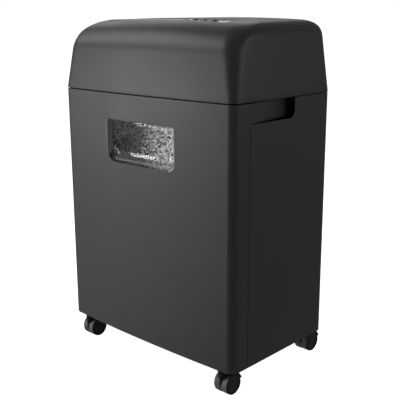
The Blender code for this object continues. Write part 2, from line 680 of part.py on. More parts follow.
def bezel_outline(clearance):
    half = BEZEL_WIDTH / 2 - clearance
    return rounded_rectangle((-half, THROAT_Y - BEZEL_FRONT + clearance),
                             (half, THROAT_Y + BEZEL_BACK - clearance), BEZEL_CORNER, 4)


def button_places():
    return [("button_reverse", BUTTON_FIRST_X), ("button_power", BUTTON_FIRST_X + BUTTON_PITCH),
            ("button_forward", BUTTON_FIRST_X + 2 * BUTTON_PITCH)]


def build_head():
    cover = piece("head_cover", head_mesh("head_cover", HEAD_BASE_Z), (0, 0, 0), GRAPHITE)
    hollow = cutter("head_hollow", head_mesh("head_hollow", HEAD_BASE_Z - 0.004, WALL))
    boolean(cover, hollow)
    opening = plate_mesh("bezel_opening", [bezel_outline(0)], TOP_Z - 0.03, TOP_Z + 0.01)
    boolean(cover, cutter("bezel_opening", opening))
    gland_z = PARTING_Z + GLAND_RISE
    gland_hole = rod_mesh("gland_hole", GLAND_RADIUS + GAP, REAR_Y - 0.01, REAR_Y + 0.01, "Y", 24)
    boolean(cover, cutter("gland_hole", gland_hole, (GLAND_X, 0, gland_z)))

    # bezel: the same crown, sunk a little, trimmed to the opening and pierced for the paper
    bezel = piece("throat_bezel", head_mesh("throat_bezel", TOP_Z - 0.040, BEZEL_SINK), (0, 0, 0),
                  GLOSS_BLACK)
    boolean(bezel, cutter("bezel_underside", head_mesh("bezel_underside", TOP_Z - 0.045,
                                                       BEZEL_SINK + BEZEL_THICKNESS)))
    trim = plate_mesh("bezel_trim", [bezel_outline(GAP)], TOP_Z - 0.03, TOP_Z + 0.01)
    boolean(bezel, cutter("bezel_trim", trim), "INTERSECT")
    slot_half = SLOT_WIDTH / 2
    slot_gap = SLOT_OPENING / 2
    slot = span_box("slot", (-slot_half, THROAT_Y - slot_gap, TOP_Z - 0.03),
                    (slot_half, THROAT_Y + slot_gap, TOP_Z + 0.01))
    boolean(bezel, cutter("slot", slot))
    lip = TOP_Z - BEZEL_SINK + 0.0005
    spread = FUNNEL_SPREAD
    root_z = lip - BEZEL_THICKNESS - 0.001
    funnel = [[(-slot_half, THROAT_Y - slot_gap + 0.0004, root_z),
               (slot_half, THROAT_Y - slot_gap + 0.0004, root_z),
               (slot_half, THROAT_Y + slot_gap - 0.0004, root_z),
               (-slot_half, THROAT_Y + slot_gap - 0.0004, root_z)],
              [(-slot_half - spread, THROAT_Y - slot_gap - spread, lip),
               (slot_half + spread, THROAT_Y - slot_gap - spread, lip),
               (slot_half + spread, THROAT_Y + slot_gap + spread, lip),
               (-slot_half - spread, THROAT_Y + slot_gap + spread, lip)]]
    boolean(bezel, cutter("funnel", loft_mesh("funnel", funnel)))

    control_z = head_height(BUTTON_FIRST_X + BUTTON_PITCH, CONTROL_Y, BEZEL_SINK)
    for name, x in button_places():
        add_button(bezel, name, x)
    lens_x = BUTTON_FIRST_X - BUTTON_PITCH
    lens_top = head_height(lens_x, CONTROL_Y, BEZEL_SINK) + 0.0003
    lens = rod_mesh("indicator_lens", LENS_RADIUS, lens_top - 0.0070, lens_top, "Z", 16)
    piece("indicator_lens", lens, (lens_x, CONTROL_Y, 0), LENS_GREEN)
    lens_hole = rod_mesh("lens_hole", LENS_RADIUS + GAP, lens_top - 0.012, lens_top + 0.005, "Z", 16)
    boolean(bezel, cutter("lens_hole", lens_hole, (lens_x, CONTROL_Y, 0)))

    board = span_box("control_board", (lens_x - 0.010, CONTROL_Y - 0.0060, control_z - 0.0165),
                     (BUTTON_FIRST_X + 2 * BUTTON_PITCH + 0.012, CONTROL_Y + 0.0065, control_z - 0.0149))
    piece("control_board", board, (0, 0, 0), BOARD_GREEN)

    # chute that leads the paper from the slot down to the cutters
    guide_wall = 0.0015
    guide_top = head_height(slot_half, THROAT_Y, BEZEL_SINK + BEZEL_THICKNESS) - 0.0008
    guide_foot = CUTTER_Z + DISC_RADIUS + 0.004
    outer_gap = slot_gap + guide_wall
    guide_half = PLATE_INNER - 0.001
    outside = [(-guide_half, THROAT_Y - outer_gap), (guide_half, THROAT_Y - outer_gap),
               (guide_half, THROAT_Y + outer_gap), (-guide_half, THROAT_Y + outer_gap)]
    inside_half = slot_half + 0.002
    inside = [(-inside_half, THROAT_Y - slot_gap), (inside_half, THROAT_Y - slot_gap),
              (inside_half, THROAT_Y + slot_gap), (-inside_half, THROAT_Y + slot_gap)]
    piece("feed_guide", plate_mesh("feed_guide", [outside, inside], guide_foot, guide_top), (0, 0, 0),
          BLACK_NYLON)

    half, front, rear, radius = head_section(HEAD_BASE_TOP, WALL + GAP)
    base_outline = rounded_rectangle((-half, front), (half, rear), radius)
    chute = rounded_rectangle((-PLATE_INNER + 0.002, THROAT_Y - 0.031),
                              (PLATE_INNER - 0.002, THROAT_Y + 0.031), 0.005)
    piece("head_base", plate_mesh("head_base", [base_outline, chute], HEAD_BASE_Z, HEAD_BASE_TOP),
          (0, 0, 0), GRAPHITE_DARK)

    # gland for the mains lead, snapped into the rear wall
    wall_y = head_section(gland_z)[2]
    flange = GLAND_RADIUS + 0.0022
    outer_x = 0.0052
    profile = [(GLAND_BORE, outer_x), (GLAND_RADIUS - 0.001, outer_x), (GLAND_RADIUS + 0.0002, GAP + 0.002),
               (flange, GAP + 0.002), (flange, GAP), (GLAND_RADIUS, GAP),
               (GLAND_RADIUS, -WALL - 0.0015), (GLAND_BORE, -WALL - 0.0015)]
    gland = turned("cord_grommet", profile, (GLAND_X, wall_y, gland_z), BLACK_NYLON, 24, True)
    gland.rotation_euler = (0, 0, math.pi / 2)

    mains = span_box("power_board", (-0.168, THROAT_Y - 0.020, HEAD_BASE_TOP + 0.005),
                     (-0.133, THROAT_Y + 0.085, HEAD_BASE_TOP + 0.0066))
    piece("power_board", mains, (0, 0, 0), BOARD_GREEN)


def add_button(bezel, name, x):
    """A rounded key with a retaining flange under the bezel, and its hole."""
    surface = head_height(x, CONTROL_Y, BEZEL_SINK)
    cap = rounded_rectangle((-BUTTON_LENGTH / 2, -BUTTON_WIDTH / 2),
                            (BUTTON_LENGTH / 2, BUTTON_WIDTH / 2), 0.0022, 3)
    hole = rounded_rectangle((-BUTTON_LENGTH / 2 - GAP, -BUTTON_WIDTH / 2 - GAP),
                             (BUTTON_LENGTH / 2 + GAP, BUTTON_WIDTH / 2 + GAP), 0.0025, 3)
    flange = rounded_rectangle((-BUTTON_LENGTH / 2 - 0.001, -BUTTON_WIDTH / 2 - 0.001),
                               (BUTTON_LENGTH / 2 + 0.001, BUTTON_WIDTH / 2 + 0.001), 0.0025, 3)
    foot = -0.0085
    key = piece(name, plate_mesh(name, [cap], foot, BUTTON_PROUD), (x, CONTROL_Y, surface), GLOSS_BLACK)
    under = -BEZEL_THICKNESS - 0.0022
    tool = cutter(name + "_flange", plate_mesh(name + "_flange", [flange], under - 0.0012, under))
    tool.parent = key
    boolean(key, tool, "UNION")
    boolean(bezel, cutter(name + "_hole", plate_mesh(name + "_hole", [hole], -0.02, 0.01),
                          (x, CONTROL_Y, surface)))


# ---------------------------------------------------------------- shredding mechanism
def gear_outline(module, teeth, phase):
    pitch_radius = module * teeth / 2
    tip, root = pitch_radius + 0.85 * module, pitch_radius - 1.15 * module
    step = 2 * math.pi / teeth
    points = []
    for tooth in range(teeth):
        middle = phase + tooth * step
        for share, radius in ((-0.27, root), (-0.10, tip), (0.10, tip), (0.27, root)):
            angle = middle + share * step
            points.append((radius * math.cos(angle), radius * math.sin(angle)))
    return points


def meshing_phase(phase, teeth, mate_teeth, direction):
    """Phase of a mate so that a tooth meets a gap along the line of centres."""
    step, mate_step = 2 * math.pi / teeth, 2 * math.pi / mate_teeth
    offset = ((direction - phase) / step) % 1.0
    return direction + math.pi - (0.5 - offset) * mate_step


def gear(name, module, teeth, phase, bore, low, high, place, look):
    outline = [gear_outline(module, teeth, phase), circle((0, 0), bore, 16)]
    return piece(name, plate_mesh(name, outline, low, high, "X"), place, look)


def cutter_shaft(name, y, first_disc):
    left_end = -PLATE_OUTER - 0.004
    right_end = SHAFT_GEAR_X + GEAR_WIDTH
    body = PLATE_INNER - 0.0015
    profile = [(0.0, right_end), (JOURNAL_RADIUS, right_end), (JOURNAL_RADIUS, body), (CORE_RADIUS, body)]
    count = DISC_COUNT
    for index in reversed(range(count)):
        centre = first_disc + index * DISC_PITCH
        profile += [(CORE_RADIUS, centre + DISC_WIDTH / 2), (DISC_RADIUS, centre + DISC_WIDTH / 2),
                    (DISC_RADIUS, centre - DISC_WIDTH / 2), (CORE_RADIUS, centre - DISC_WIDTH / 2)]
    profile += [(CORE_RADIUS, -body), (JOURNAL_RADIUS, -body), (JOURNAL_RADIUS, left_end), (0.0, left_end)]
    return turned(name, profile, (0, y, CUTTER_Z), CUTTER_STEEL, 12)


def comb_outline(first_disc, shaft_y, side):
    """A bar with a finger in each gap between the discs; side is -1 in front and +1 behind."""
    reach = CORE_RADIUS + 0.0008
    bar_near = DISC_RADIUS + 0.0012
    bar_far = bar_near + 0.0065
    half = PLATE_INNER - GAP
    finger = (DISC_PITCH - DISC_WIDTH) / 2 - 0.0008
    near, far, tip = (shaft_y + side * value for value in (bar_near, bar_far, reach))
    points = [(-half, far), (-half, near)]
    for index in range(DISC_COUNT - 1):
        middle = first_disc + (index + 0.5) * DISC_PITCH
        points += [(middle - finger, near), (middle - finger, tip), (middle + finger, tip),
                   (middle + finger, near)]
    points += [(half, near), (half, far)]
    return points


def build_mechanism():
    front_disc = -DISC_PITCH * (DISC_COUNT - 0.5) / 2
    rear_disc = front_disc + DISC_PITCH / 2
    cutter_shaft("cutter_shaft_front", FRONT_SHAFT_Y, front_disc)
    cutter_shaft("cutter_shaft_rear", REAR_SHAFT_Y, rear_disc)
    for name, first, y, side in (("stripper_front", front_disc, FRONT_SHAFT_Y, -1),
                                 ("stripper_rear", rear_disc, REAR_SHAFT_Y, 1)):
        outline = comb_outline(first, y, side)
        piece(name, plate_mesh(name, [outline], CUTTER_Z - 0.0012, CUTTER_Z + 0.0012), (0, 0, 0), ZINC)

    # side plates with the shafts' bushes, tied together by two bars
    plate_top = PLATE_Z + PLATE_HEIGHT
    plate_front = THROAT_Y - PLATE_FRONT
    motor_hole = MOTOR_SHAFT_RADIUS + 0.0015
    bars = (("tie_bar_front", plate_front + 0.007, PLATE_Z + 0.046),
            ("tie_bar_rear", THROAT_Y + PLATE_BACK - 0.003, PLATE_Z + 0.050))
    for side_name, side, back in (("left", -1, THROAT_Y + PLATE_BACK + 0.006),
                                  ("right", 1, MOTOR_Y + 0.020)):
        low, high = sorted((side * PLATE_INNER, side * PLATE_OUTER))
        outlines = [rounded_rectangle((plate_front, PLATE_Z), (back, plate_top), 0.004, 3)]
        for y in (FRONT_SHAFT_Y, REAR_SHAFT_Y):
            outlines.append(circle((y, CUTTER_Z), BUSH_OUTER + GAP, 20))
        for _, y, z in bars:
            outlines.append(circle((y, z), BAR_RADIUS + GAP, 14))
        if side > 0:
            outlines.append(circle((MOTOR_Y, MOTOR_Z), motor_hole, 16))
            outlines.append(circle((COMPOUND_Y, COMPOUND_Z), COMPOUND_AXLE_RADIUS + GAP, 16))
        name = f"frame_plate_{side_name}"
        piece(name, plate_mesh(name, outlines, low, high, "X"), (0, 0, 0), ZINC)
        for tag, y in (("front", FRONT_SHAFT_Y), ("rear", REAR_SHAFT_Y)):
            bush = plate_mesh("bush", [circle((0, 0), BUSH_OUTER, 20),
                                       circle((0, 0), JOURNAL_RADIUS + GAP, 20)],
                              low + 0.0002, high - 0.0002, "X")
            piece(f"shaft_bush_{tag}_{side_name}", bush, (0, y, CUTTER_Z), SINTERED)
    for name, y, z in bars:
        piece(name, rod_mesh(name, BAR_RADIUS, -PLATE_OUTER - 0.002, PLATE_OUTER - GAP, "X", 14),
              (0, y, z), STEEL)

    front_phase = 0.0
    rear_phase = meshing_phase(front_phase, SHAFT_TEETH, SHAFT_TEETH, 0.0)
    small_phase = meshing_phase(rear_phase, SHAFT_TEETH, SMALL_TEETH, COMPOUND_ANGLE)
    large_phase = 0.0
    pinion_phase = meshing_phase(large_phase, LARGE_TEETH, PINION_TEETH, MOTOR_ANGLE)
    gear_end = SHAFT_GEAR_X + GEAR_WIDTH
    for name, phase, y in (("shaft_gear_front", front_phase, FRONT_SHAFT_Y),
                           ("shaft_gear_rear", rear_phase, REAR_SHAFT_Y)):
        gear(name, MODULE_SHAFT, SHAFT_TEETH, phase, JOURNAL_RADIUS + GAP, SHAFT_GEAR_X, gear_end,
             (0, y, CUTTER_Z), STEEL)
    compound_place = (0, COMPOUND_Y, COMPOUND_Z)
    large_end = LARGE_GEAR_X + LARGE_GEAR_WIDTH
    compound = gear("compound_gear", MODULE_MOTOR, LARGE_TEETH, large_phase, COMPOUND_AXLE_RADIUS + GAP,
                    LARGE_GEAR_X, large_end, compound_place, ACETAL)
    small = plate_mesh("compound_small", [gear_outline(MODULE_SHAFT, SMALL_TEETH, small_phase),
                                          circle((0, 0), COMPOUND_AXLE_RADIUS + GAP, 16)],
                       SHAFT_GEAR_X, LARGE_GEAR_X + 0.001, "X")
    boolean(compound, cutter("compound_small", small, compound_place), "UNION")
    piece("compound_axle", rod_mesh("compound_axle", COMPOUND_AXLE_RADIUS, PLATE_INNER,
                                    large_end + 0.002, "X", 16), compound_place, STEEL)

    motor_end = PLATE_INNER - GAP
    motor_start = motor_end - MOTOR_LENGTH
    can = [(0.0, motor_end), (MOTOR_RADIUS - 0.003, motor_end), (MOTOR_RADIUS, motor_end - 0.003),
           (MOTOR_RADIUS, motor_start + 0.004), (MOTOR_RADIUS - 0.004, motor_start), (0.0, motor_start)]
    motor = turned("motor_body", can, (0, MOTOR_Y, MOTOR_Z), ZINC, 24)
    motor_bore = rod_mesh("motor_bore", MOTOR_SHAFT_RADIUS + GAP, motor_end - 0.012, motor_end + 0.01,
                          "X", 16)
    boolean(motor, cutter("motor_bore", motor_bore, (0, MOTOR_Y, MOTOR_Z)))
    pinion_end = LARGE_GEAR_X + LARGE_GEAR_WIDTH
    piece("motor_shaft", rod_mesh("motor_shaft", MOTOR_SHAFT_RADIUS, motor_end - 0.0115,
                                  pinion_end + 0.001, "X", 16), (0, MOTOR_Y, MOTOR_Z), STEEL)
    gear("motor_pinion", MODULE_MOTOR, PINION_TEETH, pinion_phase, MOTOR_SHAFT_RADIUS + GAP, LARGE_GEAR_X,
         pinion_end, (0, MOTOR_Y, MOTOR_Z), STEEL)

    # cover over the gear train, open towards the frame plate
    cover_front, cover_back = plate_front + 0.004, MOTOR_Y + 0.016
    cover_low = PLATE_Z + 0.002
    cover_high = COMPOUND_Z + MODULE_MOTOR * (LARGE_TEETH / 2 + 1) + 0.003
    cover_start, cover_end = PLATE_OUTER + 0.0005, large_end + 0.0045
    cover = piece("gear_cover", span_box("gear_cover", (cover_start, cover_front, cover_low),
                                         (cover_end, cover_back, cover_high)), (0, 0, 0), BLACK_NYLON)
    inner = 0.0015
    boolean(cover, cutter("gear_room", span_box(
        "gear_room", (cover_start - 0.01, cover_front + inner, cover_low + inner),
        (cover_end - inner, cover_back - inner, cover_high - inner))))

    # reed switch on the top frame's underside and its magnet on the tub stop the motor with the bin out
    switch_y = REAR_Y - WALL - 0.030
    switch_z = PARTING_Z - 0.004 - GAP
    piece("bin_switch", span_box("bin_switch", (SWITCH_X - 0.012, switch_y, switch_z - 0.008),
                                 (SWITCH_X + 0.012, switch_y + 0.010, switch_z)), (0, 0, 0), BLACK_NYLON)
    magnet_y = REAR_Y - WALL - 0.0032 + GAP
    piece("bin_magnet", span_box("bin_magnet", (SWITCH_X - 0.008, magnet_y, TUB_TOP - 0.020),
                                 (SWITCH_X + 0.008, magnet_y + 0.0022, TUB_TOP - 0.006)), (0, 0, 0), ZINC)

    # screws that hold the head base on the top frame
    for name, x in (("head_screw_left", -HEAD_SCREW_X), ("head_screw_right", HEAD_SCREW_X)):
        screw_z = HEAD_BASE_TOP + GAP
        profile = [(0.0, 0.0022), (0.0030, 0.0020), (0.0036, 0.0), (0.0, 0.0)]
        screw = turned(name, profile, (x, REAR_Y - 0.030, screw_z), ZINC, 16)
        screw.rotation_euler = (0, -math.pi / 2, 0)


# ---------------------------------------------------------------- assembly
build_cabinet()
for caster_tag, (caster_x, caster_y) in zip(("front_left", "front_right", "rear_left", "rear_right"),
                                            swivel_places()):
    build_caster(caster_tag, caster_x, caster_y)
build_bin()
build_head()
build_mechanism()
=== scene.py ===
"""Office paper shredder: the visible model, built around its packed frame.

Every length is in metres.  The frame gives each piece its place; the sizes and colours that a
user would change are the properties of the add-on's groups, shown in the sidebar's panel.
"""
import json
import math

import bmesh
import bpy
from bpy.props import FloatProperty, FloatVectorProperty, IntProperty, PointerProperty
from mathutils import Matrix, Vector

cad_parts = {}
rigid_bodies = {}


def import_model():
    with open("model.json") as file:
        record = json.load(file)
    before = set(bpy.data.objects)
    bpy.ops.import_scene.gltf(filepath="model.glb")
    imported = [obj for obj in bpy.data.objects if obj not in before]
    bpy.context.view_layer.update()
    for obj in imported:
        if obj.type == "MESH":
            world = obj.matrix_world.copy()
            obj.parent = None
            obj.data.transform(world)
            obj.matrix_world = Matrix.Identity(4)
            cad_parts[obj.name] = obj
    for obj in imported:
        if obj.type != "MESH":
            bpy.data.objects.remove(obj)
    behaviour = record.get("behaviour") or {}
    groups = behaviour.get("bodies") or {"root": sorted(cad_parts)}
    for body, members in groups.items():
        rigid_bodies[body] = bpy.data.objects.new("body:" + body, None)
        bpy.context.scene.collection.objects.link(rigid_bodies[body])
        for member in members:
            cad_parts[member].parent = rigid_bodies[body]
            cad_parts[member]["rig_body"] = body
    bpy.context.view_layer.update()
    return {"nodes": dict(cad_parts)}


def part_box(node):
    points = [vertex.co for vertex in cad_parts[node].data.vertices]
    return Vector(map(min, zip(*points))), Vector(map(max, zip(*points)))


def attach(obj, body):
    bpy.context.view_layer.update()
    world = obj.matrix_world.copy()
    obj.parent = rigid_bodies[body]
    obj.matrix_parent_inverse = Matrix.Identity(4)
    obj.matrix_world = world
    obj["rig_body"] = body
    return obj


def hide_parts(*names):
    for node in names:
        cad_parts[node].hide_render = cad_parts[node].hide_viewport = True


bl_info = {
    "name": "Paper shredder",
    "version": (1, 0, 0),
    "blender": (4, 5, 0),
    "location": "View3D > Sidebar > Shredder",
    "description": "Builds the looks of an office paper shredder around its frame",
    "category": "Add Mesh",
}

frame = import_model()

# ------------------------------------------------------------ places read from the frame
WRAP_LOW, WRAP_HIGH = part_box("cabinet_wrap")
DOOR_LOW, DOOR_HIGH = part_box("bin_front")
HEAD_LOW, HEAD_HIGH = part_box("head_cover")
BEZEL_LOW, BEZEL_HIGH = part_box("throat_bezel")
GUIDE_LOW, GUIDE_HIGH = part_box("feed_guide")
WINDOW_LOW, WINDOW_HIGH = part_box("bin_window")
TUB_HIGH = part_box("bin_tub")[1]
HEAP_LOW, HEAP_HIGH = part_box("shredded_paper")
LENS_LOW, LENS_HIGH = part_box("indicator_lens")
HALF_W = WRAP_HIGH.x
FRONT_Y = DOOR_LOW.y
REAR_Y = WRAP_HIGH.y
BASE_Z = WRAP_LOW.z
PARTING_Z = WRAP_HIGH.z
DOOR_TOP = DOOR_HIGH.z
TOP_Z = HEAD_HIGH.z
SPLIT_Y = WRAP_LOW.y
THROAT_Y = (GUIDE_LOW.y + GUIDE_HIGH.y) / 2
KEYS = ("button_reverse", "button_power", "button_forward")
CORNERS = ("front_left", "front_right", "rear_left", "rear_right")

# clearances that repeat the frame's own
GAP = 0.0003
SPLIT_GAP = 0.0008
# how much wider the parting line under the head is than in the frame
SEAM = 0.0008
# a turned profile starts this close to its axis, and its pole is welded shut
ON_AXIS = 0.00001
# left and right ends of the light raised strip along the bezel's front; its light colour is a
# painted highlight along that edge
PAINTED_HIGHLIGHT_SPAN = (-0.0680, 0.0400)
# how far cutting shapes run past what they cut
PAST = 0.01
# height of the middle of the window, where the painted shadow on the heap is lightest, and the half
# width and rear edge of the heap that is painted lit and glowing
PAINTED_LIGHT_HEIGHT = 0.362
PAINTED_LIGHT_HALF_WIDTH = 0.080
PAINTED_LIGHT_BACK = -0.096
# painted shade: tone of the shreds that lie in the closed cabinet, away from the window
PAINTED_SHADE_TONE = 0.45
# how far a cutter disc reaches into its shaft
DISC_OVERLAP = 0.0002
RAMP_OVERLAP = 0.004


# ------------------------------------------------------------ what a user may change
def length(name, description, default):
    return FloatProperty(name=name, description=description, default=default, unit="LENGTH",
                         subtype="DISTANCE", precision=5)


def colour(name, description, default):
    return FloatVectorProperty(name=name, description=description, default=default, size=3,
                               min=0.0, max=1.0, subtype="COLOR")


class ShredderCabinet(bpy.types.PropertyGroup):
    """Sizes of the cabinet and the door of the bin"""
    wall: length("Wall", "Thickness of the moulded walls", 0.0025)
    corner: length("Corner radius", "Radius of the upright corners", 0.014)
    bow: length("Front bow", "How far the middle of the front stands forward", 0.0045)
    edge: length("Edge radius", "Rounding of the moulded edges", 0.0006)
    scoop_height: length("Scoop height", "Height of the finger recess", 0.030)
    scoop_depth: length("Scoop depth", "Depth of the ramp at its rear end", 0.016)
    scoop_corner: length("Scoop corner", "Radius of the recess's lower rear corner", 0.011)


class ShredderHead(bpy.types.PropertyGroup):
    """Shape of the head"""
    side_lean: length("Side lean", "How far a side leans in over its height", 0.009)
    side_roll: length("Side roll", "How far a side rolls over into the top", 0.026)
    side_drop: length("Side drop", "Height of a side's roll", 0.022)
    front_lean: length("Front lean", "How far the front leans back", 0.009)
    front_roll: length("Front roll", "How far the front rolls over", 0.059)
    front_drop: length("Front drop", "Height of the front's roll", 0.047)
    rear_lean: length("Rear lean", "How far the rear leans in", 0.001)
    rear_roll: length("Rear roll", "How far the rear rolls over", 0.012)
    rear_drop: length("Rear drop", "Height of the rear's roll", 0.010)
    overhang: length("Overhang", "How far the head's foot stands proud of the cabinet", 0.0004)
    corner_top: length("Top corner", "Radius of the upright corners at the top", 0.030)
    dome: length("Dome", "Fall of the top from its middle to its sides", 0.0056)
    bezel_sink: length("Bezel sink", "How far the bezel lies below the top", 0.0006)
    bezel_wall: length("Bezel wall", "Thickness of the bezel", 0.003)
    bezel_corner: length("Bezel corner", "Corner radius of the bezel", 0.006)
    slot_width: length("Entry width", "Width of the feed slot", 0.230)
    slot_opening: length("Entry opening", "Opening of the feed slot", 0.006)
    funnel: length("Funnel", "Spread of the slot's chamfer", 0.005)


class ShredderWindow(bpy.types.PropertyGroup):
    """The clear dish and the shreds behind it"""
    corner: length("Corner", "Radius of the lower corners", 0.019)
    depth: length("Depth", "Depth of the dish", 0.010)
    rise: length("Sill rise", "How far the sill climbs over the depth", 0.018)
    wall: length("Wall", "Thickness of the clear plastic", 0.0015)
    strip_length: length("Strip length", "Length of a shred", 0.011)
    strip_width: length("Strip width", "Width of a shred", 0.0022)
    strip_density: FloatProperty(name="Shreds per area", default=36000.0, min=0.0,
                                 description="Shreds on each square metre of the heap")
    strip_seed: IntProperty(name="Seed", description="Seed of the heap", default=7)


class ShredderCaster(bpy.types.PropertyGroup):
    """Sizes of a caster"""
    hood_wall: length("Hood wall", "Thickness of the hood", 0.0016)
    hood_reach: length("Hood reach", "Hood's outside beyond the tread", 0.0025)
    web: length("Web", "Thickness of the web between the wheels", 0.003)
    hood_tip: FloatProperty(name="Hood tip", default=math.radians(15), subtype="ANGLE",
                            description="Angle above the axle at which the hood ends")
    hood_nose: FloatProperty(name="Hood nose", default=math.radians(118), subtype="ANGLE",
                             description="Angle at which the hood meets the swivel")


class ShredderColours(bpy.types.PropertyGroup):
    """Colours of the finishes"""
    graphite: colour("Graphite", "Cabinet, door and head", (0.032, 0.032, 0.033))
    graphite_dark: colour("Dark plastic", "Inner mouldings", (0.026, 0.026, 0.027))
    black: colour("Black", "Bezel and keys", (0.008, 0.008, 0.009))
    nylon: colour("Nylon", "Caster hoods and guides", (0.006, 0.006, 0.0065))
    wheel: colour("Wheel", "Caster wheels", (0.125, 0.125, 0.127))
    paper: colour("Paper", "Shredded paper", (0.95, 0.95, 0.94))
    print_ink: colour("Key marks", "Printed marks on the keys", (0.75, 0.76, 0.76))
    lens: colour("Indicator", "Indicator lens", (0.10, 0.55, 0.22))
    floor: colour("Floor", "Floor under the machine", (0.86, 0.86, 0.86))


# ------------------------------------------------------------ materials
class Field:
    """A node socket that takes part in sums: each operator adds the Math node it stands for."""

    def __init__(self, look, socket):
        self.look = look
        self.socket = socket

    def combine(self, operation, other, swap=False):
        first, second = (other, self) if swap else (self, other)
        return self.look.node("ShaderNodeMath", {"operation": operation}, {0: first, 1: second})

    def __add__(self, other):
        return self.combine("ADD", other)

    def __radd__(self, other):
        return self.combine("ADD", other, True)

    def __sub__(self, other):
        return self.combine("SUBTRACT", other)

    def __rsub__(self, other):
        return self.combine("SUBTRACT", other, True)

    def __mul__(self, other):
        return self.combine("MULTIPLY", other)

    def __rmul__(self, other):
        return self.combine("MULTIPLY", other, True)

    def largest(self, other):
        return self.combine("MAXIMUM", other)

    def size(self):
        return self.look.node("ShaderNodeMath", {"operation": "ABSOLUTE"}, {0: self})

    def step(self, start, end, low=0.0, high=1.0):
        """Ease from low to high while the field runs from start to end."""
        return self.look.node("ShaderNodeMapRange", {"interpolation_type": "SMOOTHSTEP"},
                              {"Value": self, "From Min": start, "From Max": end,
                               "To Min": low, "To Max": high})


class Look:
    """One material round a Principled shader."""

    def __init__(self, name, **constants):
        self.material = bpy.data.materials.new(name)
        self.material.use_nodes = True
        self.tree = self.material.node_tree
        self.shader = self.tree.nodes["Principled BSDF"]
        for socket, value in constants.items():
            self.feed(self.shader.inputs[socket.replace("_", " ")], value)
        self.place = self.node("ShaderNodeTexCoord", output="Object")

    def feed(self, socket, value):
        if isinstance(value, Field):
            self.tree.links.new(value.socket, socket)
        elif socket.type == "RGBA":
            socket.default_value = (*value[:3], 1.0)
        else:
            socket.default_value = value

    def node(self, kind, settings=None, inputs=None, output=0):
        made = self.tree.nodes.new(kind)
        for name, value in (settings or {}).items():
            if name == "stops":
                ramp = made.color_ramp.elements
                while len(ramp) < len(value):
                    ramp.new(0.5)
                for stop, (place, tint) in zip(ramp, value):
                    stop.position = place
                    stop.color = (*tint, 1.0)
            else:
                setattr(made, name, value)
        for name, value in (inputs or {}).items():
            self.feed(made.inputs[name], value)
        return Field(self, made.outputs[output])

    def noise(self, scale, detail=2.0, roughness=0.5, stretch=None):
        place = self.place
        if stretch:
            place = self.node("ShaderNodeMapping", None, {"Vector": place, "Scale": stretch})
        return self.node("ShaderNodeTexNoise", None, {"Vector": place, "Scale": scale,
                                                      "Detail": detail, "Roughness": roughness})

    def cells(self, scale, feature="F1", output="Distance"):
        return self.node("ShaderNodeTexVoronoi", {"feature": feature},
                         {"Vector": self.place, "Scale": scale}, output)

    def axes(self):
        split = self.node("ShaderNodeSeparateXYZ", None, {"Vector": self.place})
        outputs = split.socket.node.outputs
        return [Field(self, outputs[i]) for i in range(3)]

    def mix(self, factor, first, second):
        made = self.tree.nodes.new("ShaderNodeMix")
        made.data_type = "RGBA"
        self.feed(made.inputs["Factor"], factor)
        colours = [s for s in made.inputs if s.type == "RGBA"]
        self.feed(colours[0], first)
        self.feed(colours[1], second)
        return Field(self, [s for s in made.outputs if s.type == "RGBA"][0])

    def colour(self, field):
        self.feed(self.shader.inputs["Base Color"], field)

    def rough(self, field):
        self.feed(self.shader.inputs["Roughness"], field)

    def bump(self, field, distance, strength=1.0):
        lift = self.node("ShaderNodeBump", None, {"Height": field, "Distance": distance,
                                                  "Strength": strength}, "Normal")
        self.feed(self.shader.inputs["Normal"], lift)


def shade(tint, factor):
    return tuple(min(1.0, part * factor) for part in tint)


def moulded(name, tint, roughness, grain=0.00003, level=0.5, spread=0.02):
    """Moulded plastic: fine spark-eroded grain, faint flow tint and handled patches."""
    look = Look(name, Specular_IOR_Level=level)
    cloud = look.noise(9.0, 3.0)
    speck = look.noise(1900.0, 1.0)
    flow = cloud.step(0.3, 0.7) * 0.6 + speck * 0.4
    look.colour(look.mix(flow, shade(tint, 0.93), shade(tint, 1.07)))
    smear = look.noise(17.0, 4.0, 0.6)
    look.rough(smear.step(0.35, 0.75, roughness - spread, roughness + spread))
    pits = look.cells(1500.0)
    look.bump(pits * 0.7 + speck * 0.5, grain, 0.6)
    return look.material


def worn_edge(name, tint, roughness):
    """The same plastic on its rounded edges: polished by handling, and painted lighter as a
    highlight along them.
    """
    look = Look(name, Specular_IOR_Level=0.5)
    rub_and_sheen = look.noise(120.0, 3.0)
    # painted highlight: the edges are made up to half again lighter, partly as rubbed wear
    look.colour(look.mix(rub_and_sheen.step(0.4, 0.65), shade(tint, 1.0), shade(tint, 1.5)))
    look.rough(rub_and_sheen.step(0.3, 0.7, roughness, roughness - 0.12))
    return look.material


def glossy(name, tint, roughness):
    """Polished plastic with a film of dust and hairline wiping marks."""
    look = Look(name, Coat_Weight=0.3, Coat_Roughness=0.08)
    wipe = look.noise(55.0, 4.0, 0.6, (0.25, 6.0, 1.0))
    dust = look.noise(1400.0, 2.0)
    look.colour(look.mix(dust.step(0.60, 0.78) * 0.12, tint, (0.30, 0.30, 0.30)))
    look.rough(wipe.step(0.35, 0.7, roughness, roughness + 0.10))
    look.bump(wipe, 0.00001, 0.3)
    return look.material


def metal(name, tint, roughness, brushed, scratch=900.0):
    """Ground or rolled metal, with its grain along the stretch given."""
    look = Look(name, Metallic=1.0)
    grain = look.noise(scratch, 3.0, 0.6, brushed)
    stain = look.noise(40.0, 3.0)
    look.colour(look.mix(stain.step(0.35, 0.7), shade(tint, 0.86), shade(tint, 1.05)))
    look.rough(grain.step(0.3, 0.7, roughness - 0.07, roughness + 0.12))
    look.bump(grain, 0.00002, 0.5)
    return look.material


